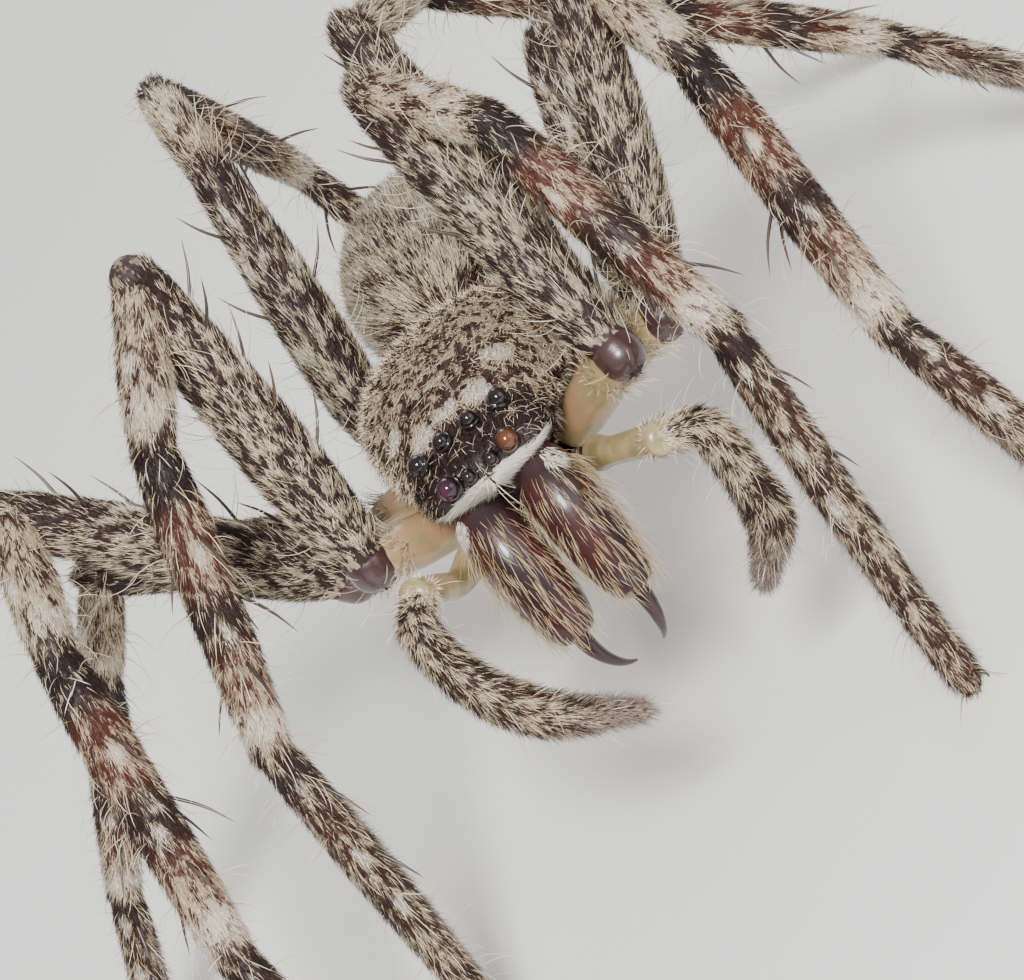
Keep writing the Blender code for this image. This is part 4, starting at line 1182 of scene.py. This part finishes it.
under = {"length": 0.38, "width": 0.034, "lift": 24, "sway": 22, "uneven": 0.3}
roots = sternum.scatter(sternumShape["hairs"])
roots = keepRoots(roots, roots["normal"][:, 2] < 0.4)
roots["way"] = np.broadcast_to([0, 1.0, 0], roots["root"].shape)
growCoat("sternum_coat", roots, under, "pale_shell")
print("small parts made")


# spines and claws

# segment, share of its length, degrees round it from the back, length
legSpines = (
    ("femur", 0.34, 12, 1.9), ("femur", 0.60, -14, 2.1), ("femur", 0.86, 4, 1.8), ("femur", 0.52, 78, 1.8),
    ("femur", 0.80, 72, 1.7), ("femur", 0.56, -76, 1.8),
    ("tibia", 0.30, 84, 1.9), ("tibia", 0.72, 80, 1.9), ("tibia", 0.34, -84, 1.9), ("tibia", 0.76, -80, 1.8),
    ("tibia", 0.52, 150, 1.9), ("tibia", 0.50, -152, 1.9),
    ("metatarsus", 0.16, 96, 1.8), ("metatarsus", 0.18, -96, 1.8), ("metatarsus", 0.46, 100, 1.6),
    ("metatarsus", 0.48, -100, 1.6),
)
spineShape = {"slant": math.radians(48), "width": 0.105, "clear": 2.15 / 2 + 0.45, "floor": 0.45}
clawShape = {"length": 0.75, "width": 0.15, "spread": 0.17}
spikeTaper = np.array([1, 1, 0.96, 0.90, 0.81, 0.69, 0.53, 0.32])


def pathDistance(point, path):
    path = np.asarray(path)
    a, b = path[:-1], path[1:]
    along = b - a
    share = np.clip(((point - a) * along).sum(1) / (along * along).sum(1), 0, 1)
    return np.linalg.norm(a + along * share[:, None] - point, axis=1).min()


def addSpikes(name, lines, width, normal, flick, slotName):
    count = len(lines)
    spikes = [smoothPath(line, len(spikeTaper) + 1)[:, :3] for line in lines]
    for spike in spikes:
        spike[:, 2] = np.maximum(spike[:, 2], 0.05)
    piece = strandMesh(name, np.stack(spikes), spikeTaper[None] * width, np.tile(normal, (count, 1)),
                       spineMaterial, {"flick": flick}, rng.random((count, 2)), np.full(count, 7), 1.0, 8)
    finishPiece(piece, slotName)


limbPaths = {key: legJoints(*key)[0][1:] for key in legPose}
palpPaths = [[place(*spot) for spot in path] for path in palpPath.values()]
for key, segments in legSegments.items():
    side, number = key
    girth = legLengths[number]["girth"]
    others = [path for other, path in limbPaths.items() if other != key] + palpPaths
    lines = []
    for part, share, degrees, length in legSpines:
        segment = segments[segmentNames.index(part)]
        root, out = segment.surface(share, degrees)
        slant = out * math.cos(spineShape["slant"]) + segment.way * math.sin(spineShape["slant"])
        far = unit(slant + segment.way * 0.35)
        size = length * girth
        waist = root + slant * size * 0.5
        tip = waist + far * size * 0.5
        near = min(pathDistance(tip, path) for path in others)
        if near >= spineShape["clear"] and tip[2] >= spineShape["floor"]:
            lines.append([root - slant * 0.1, waist, tip])
    addSpikes(f"leg_{side}_{number}_spines", lines, spineShape["width"], segments[1].dorsal,
              rng.random(len(lines)), "hairy_skin")
    # two claws hook out and down from the foot's end
    foot = segments[5]
    across = np.cross(foot.way, foot.dorsal)
    lines = []
    for left in (-clawShape["spread"], clawShape["spread"]):
        root = foot.end - foot.way * 0.30 + foot.dorsal * 0.18 + across * left
        high = root + foot.dorsal * clawShape["length"] * 0.42
        lines.append([root, high + foot.way * 0.16 + across * left * 0.4,
                      high + foot.way * 0.50 + across * left * 0.7])
    addSpikes(f"leg_{side}_{number}_claws", lines, clawShape["width"], foot.dorsal, np.array([0.2, 0.6]),
              "dark_shell")
print("spines made")


# pads of short hair under the last two segments of each leg

padCoat = {"perMm2": 150, "length": 0.34, "width": 0.028, "lift": 42, "sway": 14, "uneven": 0.2}
for (side, number), segments in legSegments.items():
    groups = []
    for k, low in ((4, 0.25), (5, 0.0)):
        shell = next(one for one in skinShells if one.name == f"leg_{side}_{number}_{segmentNames[k]}")
        area = np.pi * segments[k].length * segments[k].width
        roots = shell.scatter(int(area * padCoat["perMm2"]))
        under = -(roots["normal"] @ segments[k].dorsal)
        share = ((roots["root"] - segments[k].start) @ segments[k].way) / segments[k].length
        keep = (under > 0.55 + 0.1 * rng.random(len(under))) & (share > low) & (roots["root"][:, 2] > 0.06)
        roots["way"] = np.broadcast_to(segments[k].way, roots["root"].shape)
        groups.append(outsideOthers(keepRoots(roots, keep), segments, k))
    growCoat(f"leg_{side}_{number}_pads", joinRoots(groups), padCoat, material=padMaterial)
print("pads made")


# the pale band over the jaws, long bristles from it and crossing hairs on the head

flat = carapaceShell.points.reshape(-1, 3)
rings, around = carapaceShell.points.shape[:2]
cell = np.arange(rings * around).reshape(rings, around)
beside = np.roll(cell, -1, 1)
quads = np.stack([cell[:-1], beside[:-1], beside[1:], cell[1:]], -1).reshape(-1, 4)
headTree = BVHTree.FromPolygons(flat.tolist(), quads.tolist())
headBand = {"count": 5200, "high": 0.56, "length": 0.40, "width": 0.034, "lift": 13, "sway": 8,
            "uneven": 0.2, "sink": 0.02}


def onHead(lefts, ups):
    # where level lines from the front meet the head, with the surface's normal
    found, normals, kept = [], [], []
    way = Vector((0, 1, 0))
    for k, (left, up) in enumerate(zip(lefts, ups)):
        spot, normal, _, _ = headTree.ray_cast(Vector(place(2.5, left, up)), way, 12.0)
        if spot is not None:
            normal = normal if normal.dot(way) < 0 else -normal
            found.append(spot)
            normals.append(normal)
            kept.append(k)
    return np.array(found), np.array(normals), np.array(kept)


def bandRoots(s):
    left = rng.uniform(-1.62, 1.66, s["count"])
    middle = np.interp(left, (-1.62, -0.8, 0, 0.8, 1.66), (-0.86, -0.74, -0.70, -0.74, -0.82))
    high = s["high"] * np.sqrt(np.clip(1 - (np.abs(left) / 1.75) ** 2.6, 0.04, 1))
    up = middle + high * (rng.random(s["count"]) - 0.5)
    found, normals, kept = onHead(left, up)
    left = left[kept]
    way = np.stack([np.where(left > 0, 1.0, -1.0) * np.clip(np.abs(left) * 3, 0.2, 1),
                    np.full(len(left), -0.1), -0.25 + 0.1 * left ** 2], -1)
    return handRoots(found, normals, way, 5, np.stack([(left + 2) / 4, rng.random(len(left))], -1))


growCoat("face_band", bandRoots(headBand), headBand, material=bandMaterial)
bristles = {
    "left": (-0.32, -0.12, 0.05, 0.22, 0.42, 0.60, -0.5, 0.0),
    "up": (-0.92, -0.95, -0.93, -0.95, -0.92, -0.9, -0.9, -0.8),
    "length": 1.35, "width": 0.030, "lift": 48, "sway": 16, "bend": 52, "steps": 7, "uneven": 0.15,
    "flat": 1.0,
}
found, normals, _ = onHead(bristles["left"], bristles["up"])
growCoat("face_bristles", handRoots(found, normals, [0.12, -0.3, -1.0], 5), bristles, material=bandMaterial)

# thin crossing hairs between and beside the eyes
headHair = {"count": 5200, "length": 0.50, "width": 0.020, "lift": 26, "sway": 55, "bend": 30, "steps": 4,
            "uneven": 0.3, "flat": 0.8}
roots = carapaceShell.scatter(headHair["count"])
f, _, u = roots["spot"].T
keep = (f > -1.5) & (f < 0.1) & (u > -1.3) & (roots["normal"][:, 2] > -0.25)
keep &= ~nearEyes(roots["root"], 1.15) & (rng.random(len(f)) < 0.62)
roots = keepRoots(roots, keep)
roots["way"] = np.tile([0.0, -1.0, -0.1], (len(roots["root"]), 1))
growCoat("head_hairs", roots, headHair, material=longHairMaterial)
print("head made")


# curved golden hairs under the globes

rimHair = {"count": 120, "length": 0.75, "width": 0.028, "lift": 30, "sway": 12, "bend": -34, "steps": 6,
           "uneven": 0.2, "flat": 0.9}
for (side, number), segments in legSegments.items():
    coxa = segments[0]
    turn = rng.uniform(0, 2 * np.pi, rimHair["count"])
    back = rng.uniform(0.0, 0.45, rimHair["count"])
    out = coxa.dorsal * np.cos(turn)[:, None] + coxa.front * np.sin(turn)[:, None]
    x = coxa.length - 0.62 - back
    spot = coxa.start + coxa.way * x[:, None] + out * (coxa.radius(x) - 0.01)[:, None]
    growCoat(f"leg_{side}_{number}_rim_hairs", handRoots(spot, out, coxa.way, 6), rimHair,
             material=longHairMaterial)
print("rim hairs made")


# skin

skinParts = [shell.build() for shell in skinShells]
bpy.ops.object.select_all(action="DESELECT")
for part in skinParts:
    part.select_set(True)
bpy.context.view_layer.objects.active = skinParts[0]
bpy.ops.object.join()
skin = bpy.context.view_layer.objects.active
skin.name = "skin"
finishPiece(skin, "hairy_skin", *replaced, "carapace", "abdomen", "sternum", "labium", "maxilla_left",
            "maxilla_right", "pedicel", "spinnerets")
print("skin joined", len(skin.data.polygons))


# floor, light and surroundings

studio = {
    "floor": 1.6,
    "keySpot": (0.030, -0.17, 0.19), "keySize": 0.06, "keyPower": 1.0,
    "fillSpot": (0.20, -0.10, 0.10), "fillSize": 0.16, "fillPower": 0.16,
    "backSpot": (0.05, 0.20, 0.16), "backSize": 0.12, "backPower": 0.18,
    "sky": 0.62,
}


def addLight(name, spot, size, power):
    data = bpy.data.lights.new(name, "AREA")
    data.size = size
    data.energy = power
    lamp = bpy.data.objects.new(name, data)
    bpy.context.collection.objects.link(lamp)
    lamp.location = spot
    lamp.rotation_mode = "QUATERNION"
    lamp.rotation_quaternion = (Vector((0, 0, 0.01)) - Vector(spot)).to_track_quat("-Z", "Y")


def makeStudio(s):
    paint = Paint("floorPaint")
    coordinates = paint.node("TexCoord", out="Object")
    cloud = paint.noise(coordinates, 14.0, 3.0)
    colour = paint.mix(cloud, (0.80, 0.79, 0.77), (0.86, 0.855, 0.84))
    paint.put(Base_Color=colour, Roughness=0.55 + cloud * 0.1)
    half = s["floor"] / 2 / mm
    corners = [(-half, -half, 0), (half, -half, 0), (half, half, 0), (-half, half, 0)]
    floor = addMesh("floor", corners, [(0, 1, 2, 3)], paint.material)
    for name in ("key", "fill", "back"):
        addLight(name, s[name + "Spot"], s[name + "Size"], s[name + "Power"])
    world = bpy.data.worlds.new("room")
    bpy.context.scene.world = world
    world.use_nodes = True
    sky = world.node_tree.nodes["Background"]
    sky.inputs["Color"].default_value = (1.0, 0.99, 0.97, 1.0)
    sky.inputs["Strength"].default_value = s["sky"]


makeStudio(studio)
